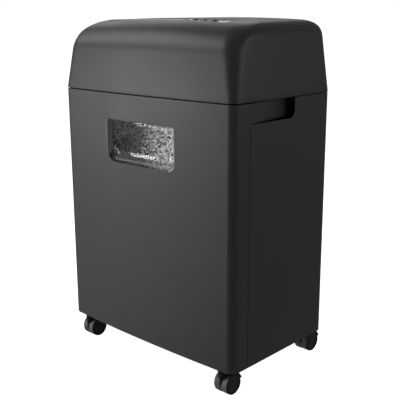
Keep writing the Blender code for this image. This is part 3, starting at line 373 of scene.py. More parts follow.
def zinc(name, tint):
    """Zinc plate with its spangle."""
    look = Look(name, Metallic=1.0)
    spangle = look.cells(260.0, "F1", "Color")
    value = look.node("ShaderNodeSeparateColor", None, {"Color": spangle})
    film = look.noise(60.0, 3.0)
    look.colour(look.mix(value * 0.6 + film * 0.4, shade(tint, 0.78), shade(tint, 1.08)))
    look.rough(value.step(0.0, 1.0, 0.26, 0.46))
    look.bump(value, 0.00001, 0.3)
    return look.material


def sintered(name, tint):
    """Pressed bronze with open pores."""
    look = Look(name, Metallic=1.0)
    pores = look.cells(2600.0)
    oil = look.noise(180.0, 3.0)
    look.colour(look.mix(pores.step(0.05, 0.4), shade(tint, 0.45), tint))
    look.rough(oil.step(0.3, 0.7, 0.35, 0.55))
    look.bump(pores.step(0.0, 0.5), 0.00005, 0.6)
    return look.material


def circuit(name):
    """Green solder mask over copper tracks, with tinned pads."""
    look = Look(name, Specular_IOR_Level=0.6)
    x, y, _ = look.axes()
    tracks = look.node("ShaderNodeTexBrick", {"offset": 0.5, "squash": 1.6},
                       {"Vector": look.place, "Scale": 190.0, "Mortar Size": 0.13,
                        "Color1": (0.0, 0.0, 0.0), "Color2": (0.0, 0.0, 0.0),
                        "Mortar": (1.0, 1.0, 1.0)}, "Fac")
    pads = look.cells(210.0).step(0.10, 0.16, 1.0, 0.0)
    weave = look.node("ShaderNodeMath", {"operation": "SINE"}, {0: (x + y) * 9000.0})
    base = look.mix(tracks, (0.010, 0.085, 0.032), (0.022, 0.150, 0.060))
    look.colour(look.mix(pads, base, (0.62, 0.60, 0.55)))
    look.feed(look.shader.inputs["Metallic"], pads)
    look.rough(pads.step(0.0, 1.0, 0.28, 0.35))
    look.bump(tracks * 0.6 + pads + weave * 0.05, 0.00004, 0.7)
    return look.material


def clear(name, fold, edge):
    """Clear polystyrene, dark by itself, with a hard gloss; its side walls are painted a lighter
    grey as painted light, and its back stands at the fold depth.
    """
    look = Look(name, IOR=1.5)
    haze = look.noise(420.0, 3.0, 0.6, (0.3, 1.0, 2.5))
    dust = look.noise(2600.0, 1.0)
    look.rough(haze.step(0.45, 0.8, 0.045, 0.065))
    # the flat back is seen straight through, the folds and sides edge on
    x, depth, _ = look.axes()
    flat = depth.step(fold - 0.0022, fold - 0.0004)
    side = x.size().step(edge - 0.0050, edge - 0.0020)
    # painted light: the side walls are coloured a light grey that stands in for the light on them
    look.colour(look.mix(side, (0.050, 0.052, 0.054), (0.50, 0.51, 0.52)))
    pane = haze.step(0.4, 0.8, 0.02, 0.04) + dust.step(0.7, 0.8) * 0.06
    look.feed(look.shader.inputs["Alpha"], pane + (1.0 - flat) * 0.34 + side * 0.25)
    look.bump(look.noise(30.0, 2.0), 0.0001, 0.05)
    return look.material


def shreds(name, tint):
    """Office paper: fibre tone and printed strips that are darker, with painted light: a glow and a
    painted shadow behind the window, and painted shade elsewhere.
    """
    look = Look(name, Specular_IOR_Level=0.2, Emission_Strength=0.34)
    strip = look.node("ShaderNodeAttribute", {"attribute_name": "tone"}, output="Fac")
    fibre = look.noise(1800.0, 3.0)
    ink = look.noise(520.0, 1.0, 0.5).step(0.48, 0.52)
    printed = strip.step(0.10, 0.14)
    solid = strip.step(0.84, 0.86)
    base = look.mix(fibre.step(0.3, 0.7), shade(tint, 0.90), tint)
    dark = ((ink * printed) * 0.96).largest(solid)
    x, y, z = look.axes()
    # painted light: the paper behind the window is painted lit and glows; the rest is painted in
    # shade as if in the closed cabinet
    beside = x.size().step(PAINTED_LIGHT_HALF_WIDTH, PAINTED_LIGHT_HALF_WIDTH + 0.020)
    behind = y.step(PAINTED_LIGHT_BACK, PAINTED_LIGHT_BACK + 0.016)
    near = (1.0 - beside) * (1.0 - behind)
    # painted shadow of the cabinet on the left of the heap, deeper away from the window's middle
    # height
    off_middle = (z - PAINTED_LIGHT_HEIGHT).size()
    patches = look.noise(35.0, 2.0)
    painted_shade_factor = (x * 12.0 - off_middle * 6.0 + patches * 0.5).step(-0.25, 0.72, 0.16, 1.0)
    painted_light_paper = look.mix(painted_shade_factor * near + (1.0 - near) * PAINTED_SHADE_TONE, (0.0, 0.0, 0.0), base)
    tone = look.mix(dark, painted_light_paper, (0.010, 0.010, 0.011))
    look.colour(tone)
    # painted glow: the paper behind the window emits its own tone, though it is no lamp
    look.feed(look.shader.inputs["Emission Color"], look.mix(near, (0.0, 0.0, 0.0), tone))
    look.rough(fibre.step(0.3, 0.7, 0.85, 0.95))
    look.bump(fibre, 0.00004, 0.4)
    return look.material


def lamp(name, tint):
    """Green moulded lens with a faceted inside."""
    look = Look(name, Coat_Weight=0.6, Coat_Roughness=0.05, Emission_Strength=0.05)
    facet = look.cells(1600.0)
    tone = look.mix(facet.step(0.0, 0.6), shade(tint, 1.5), shade(tint, 0.6))
    look.colour(tone)
    look.feed(look.shader.inputs["Emission Color"], tone)
    look.rough(facet.step(0.0, 0.7, 0.08, 0.2))
    return look.material


def acetal(name, tint):
    """Natural acetal with a waxy surface and faint tool lines."""
    look = Look(name, Subsurface_Weight=0.05)
    cloud = look.noise(70.0, 3.0)
    lines = look.noise(800.0, 2.0, 0.5, (1.0, 0.05, 1.0))
    look.colour(look.mix(cloud, shade(tint, 0.88), tint))
    look.rough(lines.step(0.3, 0.7, 0.32, 0.5))
    look.bump(lines, 0.00002, 0.4)
    return look.material


LOOKS = {}


def make_looks(colours, window):
    """Every finish, made once."""
    steel_tint = (0.56, 0.57, 0.59)
    LOOKS.update(
        graphite=moulded("graphite_plastic", colours.graphite, 0.42, 0.00004, 0.5),
        graphite_edge=worn_edge("graphite_edge", colours.graphite, 0.38),
        dark=moulded("dark_plastic", colours.graphite_dark, 0.52, 0.00003, 0.4),
        black=glossy("gloss_black", colours.black, 0.16),
        window=clear("clear_plastic", WINDOW_LOW.y + window.depth, WINDOW_HIGH.x),
        nylon=moulded("black_nylon", colours.nylon, 0.50, 0.00002, 0.25),
        wheel=moulded("wheel_grey", colours.wheel, 0.55, 0.00002, 0.5),
        disc=moulded("wheel_disc", shade(colours.nylon, 5.0), 0.5, 0.00002, 0.3),
        trim=moulded("satin_trim", (0.70, 0.70, 0.71), 0.34, 0.00001, 0.5),
        steel=metal("steel", steel_tint, 0.30, (0.05, 1.0, 1.0)),
        cutter=metal("cutter_steel", (0.43, 0.44, 0.46), 0.27, (1.0, 0.2, 0.2), 600.0),
        zinc=zinc("zinc_plate", (0.62, 0.63, 0.66)),
        bronze=sintered("sintered_bronze", (0.58, 0.42, 0.22)),
        acetal=acetal("acetal", (0.78, 0.77, 0.72)),
        board=circuit("circuit_board"),
        paper=shreds("paper_shreds", colours.paper),
        lens=lamp("green_lens", colours.lens),
        ink=moulded("key_print", colours.print_ink, 0.5, 0.00001, 0.3),
    )


# ------------------------------------------------------------ mesh making
def arc(centre, radius, start, end, steps):
    """Points on a circle arc, angles in degrees."""
    points = []
    for step in range(steps + 1):
        angle = math.radians(start + (end - start) * step / steps)
        points.append((centre[0] + radius * math.cos(angle), centre[1] + radius * math.sin(angle)))
    return points


def rounded_rectangle(low, high, radius, steps=8):
    (x0, y0), (x1, y1) = low, high
    return (arc((x1 - radius, y0 + radius), radius, -90, 0, steps)
            + arc((x1 - radius, y1 - radius), radius, 0, 90, steps)
            + arc((x0 + radius, y1 - radius), radius, 90, 180, steps)
            + arc((x0 + radius, y0 + radius), radius, 180, 270, steps))


def circle(centre, radius, steps=32):
    return arc(centre, radius, 0, 360, steps)[:-1]


def from_bmesh(work, name):
    mesh = bpy.data.meshes.new(name)
    work.to_mesh(mesh)
    work.free()
    return mesh


def box_mesh(low, high):
    work = bmesh.new()
    bmesh.ops.create_cube(work, size=1.0)
    bmesh.ops.scale(work, vec=[b - a for a, b in zip(low, high)], verts=work.verts)
    bmesh.ops.translate(work, vec=[(a + b) / 2 for a, b in zip(low, high)], verts=work.verts)
    return from_bmesh(work, "box")


AXIS_TURN = {
    "Z": Matrix.Identity(4),
    "X": Matrix(((0, 0, 1, 0), (1, 0, 0, 0), (0, 1, 0, 0), (0, 0, 0, 1))),
    "Y": Matrix(((0, 1, 0, 0), (0, 0, 1, 0), (1, 0, 0, 0), (0, 0, 0, 1))),
}


def plate(outlines, low, high, axis="Z"):
    """A flat outline with any holes, extruded between two levels along an axis.

    For Z the outline is in (x, y), for X in (y, z) and for Y in (z, x).
    """
    curve = bpy.data.curves.new("outline", "CURVE")
    curve.dimensions = "2D"
    curve.fill_mode = "BOTH"
    curve.extrude = (high - low) / 2
    curve.render_resolution_u = 0
    for outline in outlines:
        spline = curve.splines.new("POLY")
        spline.points.add(len(outline) - 1)
        for point, (u, v) in zip(spline.points, outline):
            point.co = (u, v, 0, 1)
        spline.use_cyclic_u = True
    holder = bpy.data.objects.new("outline", curve)
    mesh = bake(holder)
    work = bmesh.new()
    work.from_mesh(mesh)
    bmesh.ops.remove_doubles(work, verts=work.verts, dist=0.00002)
    bmesh.ops.translate(work, vec=(0, 0, (low + high) / 2), verts=work.verts)
    bmesh.ops.transform(work, matrix=AXIS_TURN[axis], verts=work.verts)
    return from_bmesh(work, "plate")


def loft(rings, close_start=True, close_end=True):
    """Skin a list of rings with the same number of points, capped at the ends asked for."""
    work = bmesh.new()
    rows = [[work.verts.new(point) for point in ring] for ring in rings]
    count = len(rows[0])
    for lower, upper in zip(rows, rows[1:]):
        for i in range(count):
            j = (i + 1) % count
            work.faces.new((lower[i], lower[j], upper[j], upper[i]))
    if close_start:
        work.faces.new(list(reversed(rows[0])))
    if close_end:
        work.faces.new(rows[-1])
    return from_bmesh(work, "loft")


def turned(profile, place, axis="X", steps=48):
    """A closed profile of (radius, along) points turned about an axis through the place."""
    work = bmesh.new()
    rows = []
    for step in range(steps):
        angle = 2 * math.pi * step / steps
        c, s = math.cos(angle), math.sin(angle)
        row = []
        for radius, along in profile:
            point = {"X": (along, radius * c, radius * s), "Y": (radius * s, along, radius * c),
                     "Z": (radius * c, radius * s, along)}[axis]
            row.append(work.verts.new(Vector(point) + Vector(place)))
        rows.append(row)
    count = len(profile)
    for step in range(steps):
        here, after = rows[step], rows[(step + 1) % steps]
        for i in range(count):
            j = (i + 1) % count
            work.faces.new((here[i], here[j], after[j], after[i]))
    bmesh.ops.remove_doubles(work, verts=work.verts, dist=0.000005)
    bmesh.ops.dissolve_degenerate(work, dist=0.000001, edges=work.edges)
    bmesh.ops.recalc_face_normals(work, faces=work.faces)
    return from_bmesh(work, "turned")


def bake(holder):
    """The evaluated object as a plain mesh; the object goes."""
    bpy.context.scene.collection.objects.link(holder)
    evaluated = holder.evaluated_get(bpy.context.evaluated_depsgraph_get())
    mesh = bpy.data.meshes.new_from_object(evaluated)
    bpy.data.objects.remove(holder, do_unlink=True)
    return mesh


def carve(mesh, *steps):
    """A mesh joined with, cut by or trimmed to others, exactly."""
    holder = bpy.data.objects.new("carved", mesh)
    tools = []
    for operation, tool_mesh in steps:
        tool = bpy.data.objects.new("tool", tool_mesh)
        bpy.context.scene.collection.objects.link(tool)
        tools.append(tool)
        step = holder.modifiers.new("step", "BOOLEAN")
        step.operation = operation
        step.object = tool
        step.solver = "EXACT"
    made = bake(holder)
    for tool in tools:
        bpy.data.objects.remove(tool, do_unlink=True)
    return made


def cut(mesh):
    return ("DIFFERENCE", mesh)


def add(mesh):
    return ("UNION", mesh)


def merge(*meshes):
    """Several closed meshes in one."""
    work = bmesh.new()
    for mesh in meshes:
        work.from_mesh(mesh)
    return from_bmesh(work, "merged")


def clean(mesh, dissolve=True):
    """Weld the seams and take out the edges that lie flat, so that a bevel sees real edges."""
    work = bmesh.new()
    work.from_mesh(mesh)
    bmesh.ops.remove_doubles(work, verts=work.verts, dist=0.00001)
    if dissolve:
        bmesh.ops.dissolve_limit(work, angle_limit=math.radians(0.4), verts=work.verts,
                                 edges=work.edges)
    return from_bmesh(work, mesh.name)


def rounded(mesh, width, segments=3, angle=30, edge_slot=0, even=True):
    """Sharp edges rounded, and the shading kept flat on flat faces."""
    holder = bpy.data.objects.new("rounded", mesh)
    if width:
        step = holder.modifiers.new("bevel", "BEVEL")
        step.width = width
        step.segments = segments
        step.limit_method = "ANGLE"
        step.angle_limit = math.radians(angle)
        step.use_clamp_overlap = False
        step.loop_slide = False
        step.miter_outer = "MITER_ARC"
        if edge_slot:
            step.material = edge_slot
    mesh.shade_smooth()
    if even:
        holder.modifiers.new("shading", "WEIGHTED_NORMAL").keep_sharp = True
    return bake(holder)


def place_piece(name, mesh, body, looks, nodes=(), sharp=40):
    """Name a finished mesh, give it its finish, and hand it to the frame."""
    mesh.name = name
    if sharp:
        mesh.shade_smooth()
        mesh.set_sharp_from_angle(angle=math.radians(sharp))
    thing = bpy.data.objects.new(name, mesh)
    bpy.context.scene.collection.objects.link(thing)
    looks = looks if isinstance(looks, (list, tuple)) else [looks]
    while len(mesh.materials) < len(looks):
        mesh.materials.append(None)
    while len(mesh.materials) > len(looks):
        mesh.materials.pop()
    for index, look in enumerate(looks):
        mesh.materials[index] = LOOKS[look]
    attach(thing, body)
    if nodes:
        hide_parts(*nodes)
    return thing


def with_slots(mesh, *looks):
    mesh.materials.clear()
    for look in looks:
        mesh.materials.append(LOOKS[look])
    return mesh


def body_of(node):
    return frame["nodes"][node]["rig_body"]


def refine(node, name, look, width, segments=2, angle=30):
    """The frame's own shape with its edges rounded."""
    mesh = clean(frame["nodes"][node].data.copy())
    with_slots(mesh, look)
    mesh = rounded(mesh, width, segments, angle)
    return place_piece(name, mesh, body_of(node), look, [node], sharp=0)


# ------------------------------------------------------------ outlines in plan
def front_line(half, corner_y, bow, radius, edge_y, arc_steps=14, bow_steps=40):
    """The door's line from its right edge round the bowed front to its left edge."""
    right = [(half, edge_y)] + arc((half - radius, corner_y + radius), radius, 0, -90, arc_steps)
    flat = half - radius
    middle = []
    for step in range(1, bow_steps):
        x = flat - 2 * flat * step / bow_steps
        middle.append((x, corner_y - bow * (1 - (x / flat) ** 2)))
    left = [(-x, y) for x, y in reversed(right)]
    return right + middle + left


def rear_line(half, rear_y, radius, edge_y, arc_steps=14):
    right = [(half, edge_y)] + arc((half - radius, rear_y - radius), radius, 0, 90, arc_steps)
    left = [(-x, y) for x, y in reversed(right)]
    return right + left


# ------------------------------------------------------------ head shape
def roll(height, top, drop, reach):
    """Inward run of the elliptic roll-over at a height."""
    q = (height - (top - drop)) / drop
    if q <= 0:
        return 0.0
    return reach * (1 - math.sqrt(max(0.0, 1 - q * q)))


def head_section(height, inset):
    """Half width, front, rear and corner radius of the head at a height, shrunk by an inset."""
    head = bpy.context.scene.shredder_head
    cabinet = bpy.context.scene.shredder_cabinet
    top = TOP_Z - inset
    share = (height - PARTING_Z) / (TOP_Z - PARTING_Z)
    corner_y = FRONT_Y + cabinet.bow
    half = (HALF_W + head.overhang - inset - head.side_lean * share
            - roll(height, top, head.side_drop, head.side_roll))
    front = (corner_y - head.overhang + inset + head.front_lean * share
             + roll(height, top, head.front_drop, head.front_roll))
    rear = (REAR_Y + head.overhang - inset - head.rear_lean * share
            - roll(height, top, head.rear_drop, head.rear_roll))
    radius = cabinet.corner + (head.corner_top - cabinet.corner) * share
    return half, front, rear, max(radius - inset, 0.004)


def head_ring(height, inset, corner_steps=12, front_steps=30, side_steps=12):
    half, front, rear, radius = head_section(height, inset)
    head = bpy.context.scene.shredder_head
    bow = bpy.context.scene.shredder_cabinet.bow
    share = max(0.0, min(1.0, (height - PARTING_Z) / (TOP_Z - PARTING_Z)))
    flat = half - radius
    points = []
    for step in range(front_steps):
        x = -flat + 2 * flat * step / front_steps
        points.append((x, front - bow * (1 - (x / flat) ** 2)))
    points += arc((flat, front + radius), radius, -90, 0, corner_steps)
    for step in range(1, side_steps):
        points.append((half, front + radius + (rear - front - 2 * radius) * step / side_steps))
    points += arc((flat, rear - radius), radius, 0, 90, corner_steps)
    for step in range(1, front_steps):
        points.append((flat - 2 * flat * step / front_steps, rear))
    points += arc((-flat, rear - radius), radius, 90, 180, corner_steps)
    for step in range(1, side_steps):
        points.append((-half, rear - radius - (rear - front - 2 * radius) * step / side_steps))
    points += arc((-flat, front + radius), radius, 180, 270, corner_steps)[:-1]
    return [(x, y, height - head.dome * share * (x / HALF_W) ** 2) for x, y in points]


def head_solid(bottom, inset=0.0, turn_steps=24):
    """The head's outside as a closed solid from a height up, shrunk by an inset."""
    head = bpy.context.scene.shredder_head
    top = TOP_Z - inset
    start = top - head.front_drop
    heights = [bottom + (start - bottom) * step / 6 for step in range(6)]
    for step in range(turn_steps + 1):
        heights.append(start + head.front_drop * math.sin(math.pi / 2 * step / turn_steps))
    rings = [head_ring(height, inset) for height in heights]
    _, front, rear, _ = head_section(top, inset)
    middle = (front + rear) / 2
    last = rings[-1]
    for shrink in (0.9, 0.75, 0.6, 0.45, 0.3, 0.15):
        ring = []
        for x, y, _ in last:
            across = x * shrink
            ring.append((across, middle + (y - middle) * shrink,
                         top - head.dome * (across / HALF_W) ** 2))
        rings.append(ring)
    return loft(rings)


def head_height(x, y, inset=0.0):
    """Height of the head's surface over a place away from its corners."""
    head = bpy.context.scene.shredder_head
    bow = bpy.context.scene.shredder_cabinet.bow
    low, high = PARTING_Z, TOP_Z - inset
    for _ in range(40):
        trial = (low + high) / 2
        half, front, rear, radius = head_section(trial, inset)
        crown = bow * (1 - (x / (half - radius)) ** 2)
        if abs(x) <= half and front - crown <= y <= rear:
            low = trial
        else:
            high = trial
    share = (low - PARTING_Z) / (TOP_Z - PARTING_Z)
    return low - head.dome * share * (x / HALF_W) ** 2


# ------------------------------------------------------------ geometry node trees
def socket_in_use(sockets, name):
    """The socket at that place, or the first one in use of that name."""
    if isinstance(name, int):
        return sockets[name]
    return next(socket for socket in sockets if socket.name == name and socket.enabled)


class Tree:
    """One Geometry Nodes tree with named inputs."""

    def __init__(self, name):
        self.group = bpy.data.node_groups.new(name, "GeometryNodeTree")
        self.sockets = {}
        for way in ("INPUT", "OUTPUT"):
            self.group.interface.new_socket("Geometry", in_out=way,
                                            socket_type="NodeSocketGeometry")
        self.source = self.group.nodes.new("NodeGroupInput")
        self.result = self.group.nodes.new("NodeGroupOutput")

    def value(self, name, kind, default=None):
        made = self.group.interface.new_socket(name, in_out="INPUT", socket_type=kind)
        if default is not None:
            made.default_value = default
        self.sockets[name] = made.identifier
        return self.source.outputs[name]

    def node(self, kind, settings=None, inputs=None):
        made = self.group.nodes.new(kind)
        for name, value in (settings or {}).items():
            setattr(made, name, value)
        for name, value in (inputs or {}).items():
            socket = socket_in_use(made.inputs, name)
            if isinstance(value, bpy.types.NodeSocket):
                self.group.links.new(value, socket)
            else:
                socket.default_value = value
        return made

    def random(self, kind, low, high, seed):
        made = self.node("FunctionNodeRandomValue", {"data_type": kind},
                         {"Min": low, "Max": high, "Seed": seed})
        return socket_in_use(made.outputs, "Value")

    def math(self, operation, first, second):
        return self.node("ShaderNodeMath", {"operation": operation},
                         {0: first, 1: second}).outputs[0]

    def vector(self, operation, first, second):
        return self.node("ShaderNodeVectorMath", {"operation": operation},
                         {0: first, 1: second}).outputs[0]

    def finish(self, geometry, look):
        """Real geometry with its finish, as the export needs."""
        real = self.node("GeometryNodeRealizeInstances", None, {"Geometry": geometry})
        finish = self.node("GeometryNodeSetMaterial", None,
                           {"Geometry": real.outputs[0], "Material": look})
        self.group.links.new(finish.outputs[0], self.result.inputs[0])

    def run(self, mesh, **values):
        """The tree's result on a mesh, as a plain mesh."""
        holder = bpy.data.objects.new(self.group.name, mesh)
        modifier = holder.modifiers.new(self.group.name, "NODES")
        modifier.node_group = self.group
        for name, value in values.items():
            modifier[self.sockets[name.replace("_", " ")]] = value
        return bake(holder)


def shred_tree():
    """Curled strips of paper scattered over a heap's skin and kept inside a box."""
    tree = Tree("shreds")
    strip_length = tree.value("strip length", "NodeSocketFloat", 0.024)
    strip_width = tree.value("strip width", "NodeSocketFloat", 0.0032)
    density = tree.value("density", "NodeSocketFloat", 20000.0)
    seed = tree.value("seed", "NodeSocketInt", 1)
    low = tree.value("low corner", "NodeSocketVector")
    high = tree.value("high corner", "NodeSocketVector")
    weight = tree.node("GeometryNodeInputNamedAttribute", {"data_type": "FLOAT"}, {"Name": "cover"})
    amount = tree.math("MULTIPLY", density, weight.outputs["Attribute"])
    points = tree.node("GeometryNodeDistributePointsOnFaces", None,
                       {"Mesh": tree.source.outputs["Geometry"], "Density": amount, "Seed": seed})
    paper_thickness = 0.00012
    size = tree.node("ShaderNodeCombineXYZ", None,
                     {"X": strip_length, "Y": strip_width, "Z": paper_thickness})
    strips = []
    for curl, twist in ((14.0, 90.0), (-26.0, -140.0), (42.0, 60.0)):
        strip = tree.node("GeometryNodeMeshCube", None,
                          {"Size": size.outputs[0], "Vertices X": 5, "Vertices Y": 2,
                           "Vertices Z": 2})
        place = tree.node("GeometryNodeInputPosition")
        split = tree.node("ShaderNodeSeparateXYZ", None, {0: place.outputs[0]})
        x, y = split.outputs[0], split.outputs[1]
        bend = tree.math("MULTIPLY", tree.math("MULTIPLY", x, x), curl)
        lean = tree.math("MULTIPLY", tree.math("MULTIPLY", x, y), twist)
        lift = tree.node("ShaderNodeCombineXYZ", None, {"Z": tree.math("ADD", bend, lean)})
        moved = tree.node("GeometryNodeSetPosition", None,
                          {"Geometry": strip.outputs[0], "Offset": lift.outputs[0]})
        wrapped = tree.node("GeometryNodeGeometryToInstance", None, {0: moved.outputs[0]})
        strips.append(wrapped.outputs[0])
    gather = tree.node("GeometryNodeJoinGeometry")
    for strip in strips:
        tree.group.links.new(strip, gather.inputs[0])
    pick = tree.random("INT", 0, len(strips) - 1, seed)
    spin = tree.random("FLOAT_VECTOR", (-0.7, -0.7, 0.0), (0.7, 0.7, 2 * math.pi), seed)
    turn = tree.node("FunctionNodeEulerToRotation", None, {0: spin})
    rotation = tree.node("FunctionNodeRotateRotation", {"rotation_space": "LOCAL"},
                         {"Rotation": points.outputs["Rotation"], "Rotate By": turn.outputs[0]})
    grow = tree.random("FLOAT", 0.55, 1.15, seed)
    scale = tree.node("ShaderNodeCombineXYZ", None, {"X": grow, "Y": 1.0, "Z": 1.0})
    spread = tree.node("GeometryNodeInstanceOnPoints", None,
                       {"Points": points.outputs["Points"], "Instance": gather.outputs[0],
                        "Pick Instance": True, "Instance Index": pick,
                        "Rotation": rotation.outputs[0], "Scale": scale.outputs[0]})
    tone = tree.random("FLOAT", 0.0, 1.0, tree.math("ADD", seed, 5))
    named = tree.node("GeometryNodeStoreNamedAttribute",
                      {"data_type": "FLOAT", "domain": "INSTANCE"},
                      {"Geometry": spread.outputs[0], "Name": "tone", "Value": tone})
    real = tree.node("GeometryNodeRealizeInstances", None, {"Geometry": named.outputs[0]})
    # strips that would stand out of the room are pressed almost flat against its walls
    place = tree.node("GeometryNodeInputPosition").outputs[0]
    inside = tree.vector("MINIMUM", tree.vector("MAXIMUM", place, low), high)
    beyond = tree.node("ShaderNodeVectorMath", {"operation": "SCALE"},
                       {0: tree.vector("SUBTRACT", place, inside), "Scale": 0.04})
    kept = tree.node("GeometryNodeSetPosition", None,
                     {"Geometry": real.outputs[0],
                      "Position": tree.vector("ADD", inside, beyond.outputs[0])})
    tree.finish(kept.outputs[0], LOOKS["paper"])
    return tree


def row_tree(name, shape, look):
    """A shape repeated on every point of the input, turned about X by the point's own angle."""
    tree = Tree(name)
    size = tree.value("scale", "NodeSocketFloat", 1.0)
    info = tree.node("GeometryNodeObjectInfo", {"transform_space": "ORIGINAL"}, {"Object": shape})
    angle = tree.node("GeometryNodeInputNamedAttribute", {"data_type": "FLOAT"}, {"Name": "angle"})
    spin = tree.node("ShaderNodeCombineXYZ", None, {"X": angle.outputs["Attribute"]})
    turn = tree.node("FunctionNodeEulerToRotation", None, {0: spin.outputs[0]})
    points = tree.node("GeometryNodeMeshToPoints", None, {"Mesh": tree.source.outputs["Geometry"]})
    spread = tree.node("GeometryNodeInstanceOnPoints", None,
                       {"Points": points.outputs[0], "Instance": info.outputs["Geometry"],
                        "Rotation": turn.outputs[0], "Scale": size})
    tree.finish(spread.outputs[0], look)
    return tree


def repeat(name, shape_mesh, points, look, angles=None):
    """A mesh repeated over points by a tree of its own."""
    shape = bpy.data.objects.new(name + "_shape", shape_mesh)
    bpy.context.scene.collection.objects.link(shape)
    guide = bpy.data.meshes.new(name + "_points")
    guide.from_pydata([tuple(p) for p in points], [], [])
    angle = guide.attributes.new("angle", "FLOAT", "POINT")
    angle.data.foreach_set("value", angles or [0.0] * len(points))
    made = row_tree(name, shape, LOOKS[look]).run(guide)
    bpy.data.objects.remove(shape, do_unlink=True)
    return made


# ------------------------------------------------------------ the pieces, one operator each
class SHREDDER_OT_looks(bpy.types.Operator):
    """Make the finishes"""
    bl_idname = "shredder.looks"
    bl_label = "Finishes"

    def execute(self, context):
        make_looks(context.scene.shredder_colours, context.scene.shredder_window)
        return {"FINISHED"}


class SHREDDER_OT_cabinet(bpy.types.Operator):
    """Build the wrap-round cabinet wall with its finger recesses"""
    bl_idname = "shredder.cabinet"
    bl_label = "Cabinet wall"

    def execute(self, context):
        sizes = context.scene.shredder_cabinet
        wall, corner = sizes.wall, sizes.corner
        outer = rear_line(HALF_W, REAR_Y, corner, SPLIT_Y)
        inner = rear_line(HALF_W - wall, REAR_Y - wall, corner - wall, SPLIT_Y)
        shell = plate([outer + inner[::-1]], BASE_Z, PARTING_Z)
        front, back = SPLIT_Y - 2 * wall, DOOR_HIGH.y - RAMP_OVERLAP
        foot = PARTING_Z - sizes.scoop_height
        round_corner = sizes.scoop_corner
        above = PARTING_Z + 2 * wall
        notch = ([(front, above), (front, foot)]
                 + arc((back - round_corner, foot + round_corner), round_corner, -90, 0, 16)
                 + [(back, above)])
        shell = carve(shell, cut(plate([notch], -2 * HALF_W, 2 * HALF_W, "X")))
        shell = rounded(with_slots(clean(shell), "graphite", "graphite_edge"), sizes.edge,
                        3, 30, edge_slot=1)
        place_piece("cabinet_wall", shell, "cabinet", ["graphite", "graphite_edge"],
                    ["cabinet_wrap"], sharp=0)
        return {"FINISHED"}


def window_outline(half, sill, head, radius, steps=16):
    """Window in (z, x): square upper corners and round lower ones."""
    low_right = [(z, x) for x, z in arc((half - radius, sill + radius), radius, 0, -90, steps)]
    low_left = [(z, x) for x, z in arc((-half + radius, sill + radius), radius, -90, -180, steps)]
    upper = 0.0015
    top_left = [(head, -half + upper), (head, half - upper)]
    return [(head - upper, -half)] + top_left + [(head - upper, half)] + low_right + low_left


class SHREDDER_OT_door(bpy.types.Operator):
    """Build the door of the bin with its scoop ramps and window opening"""
    bl_idname = "shredder.door"
    bl_label = "Bin door"

    def execute(self, context):
        sizes = context.scene.shredder_cabinet
        window = context.scene.shredder_window
        wall, corner, bow = sizes.wall, sizes.corner, sizes.bow
        edge = SPLIT_Y - SPLIT_GAP
        outer = front_line(HALF_W, FRONT_Y + bow, bow, corner, edge)
        inner = front_line(HALF_W - wall, FRONT_Y + bow + wall, bow, corner - wall, edge)
        shell = plate([outer + inner[::-1]], BASE_Z, DOOR_TOP)
        steps = []
        end = DOOR_HIGH.y
        depth = sizes.scoop_depth
        foot = HALF_W - wall * 0.2
        back = HALF_W - wall * 1.2
        lead = edge - 0.003
        ramp = [(foot, lead), (HALF_W, edge), (HALF_W - depth, end), (HALF_W - depth - wall, end),
                (back, lead)]
        scoop_foot = PARTING_Z - sizes.scoop_height + 0.0005
        for side in (-1, 1):
            outline = [(side * x, y) for x, y in ramp]
            steps.append(add(plate([outline], scoop_foot, DOOR_TOP - 0.0002)))
        half = WINDOW_HIGH.x + GAP
        sill, head = WINDOW_LOW.z - GAP, WINDOW_HIGH.z + GAP
        opening = window_outline(half, sill, head, window.corner)
        steps.append(cut(plate([opening], FRONT_Y - 0.02, FRONT_Y + 0.02, "Y")))
        shell = carve(shell, *steps)
        shell = rounded(with_slots(clean(shell), "graphite", "graphite_edge"), sizes.edge,
                        3, 30, edge_slot=1)
        place_piece("bin_door", shell, "bin", ["graphite", "graphite_edge"], ["bin_front"],
                    sharp=0)
        return {"FINISHED"}


class SHREDDER_OT_window(bpy.types.Operator):
    """Build the clear dish in the door"""
    bl_idname = "shredder.window"
    bl_label = "Window dish"

    def execute(self, context):
        sizes = context.scene.shredder_window
        half = WINDOW_HIGH.x
        sill, head = WINDOW_LOW.z, WINDOW_HIGH.z
        start = WINDOW_LOW.y
        depth = sizes.depth
        rings = []
        steps = 18
        for step in range(steps + 1):
            t = step / steps
            rise = 2 * t * (1 - t) * 0.22 * sizes.rise + t * t * sizes.rise
            reach = 2 * t * (1 - t) * 0.95 * depth + t * t * depth
            inset = 0.0030 * t * t
            outline = window_outline(half - inset, sill + rise, head - 0.0018 * t * t, sizes.corner)
            rings.append([(x, start + reach, z) for z, x in outline])
        # the flat back of the dish closes in towards its middle
        centre = (sill + sizes.rise + head) / 2
        rim = rings[-1]
        for shrink in (0.8, 0.5, 0.2):
            rings.append([(x * shrink, y, centre + (z - centre) * shrink) for x, y, z in rim])
        holder = bpy.data.objects.new("dish", loft(rings, close_start=False))
        shell = holder.modifiers.new("wall", "SOLIDIFY")
        shell.thickness = sizes.wall
        shell.offset = -1
        shell.use_even_offset = True
        dish = rounded(bake(holder), 0.0003, 2, 50)
        place_piece("window_dish", dish, "bin", "window", ["bin_window"], sharp=50)
        return {"FINISHED"}


def heap_height(x, y):
    """Top of the heap of shreds: high at the front, falling to the rear, with soft humps."""
    run = (y - HEAP_LOW.y) / (HEAP_HIGH.y - HEAP_LOW.y)
    fall = run * run * (3 - 2 * run)
    top = HEAP_HIGH.z - 0.001
    foot = HEAP_LOW.z + 0.55 * (top - HEAP_LOW.z)
    hump = 0.006 * math.sin(31 * x + 1.2) * math.cos(27 * y) + 0.004 * math.sin(67 * x - 41 * y)
    return top + (foot - top) * fall + hump * min(1.0, 3 * run) - 0.002


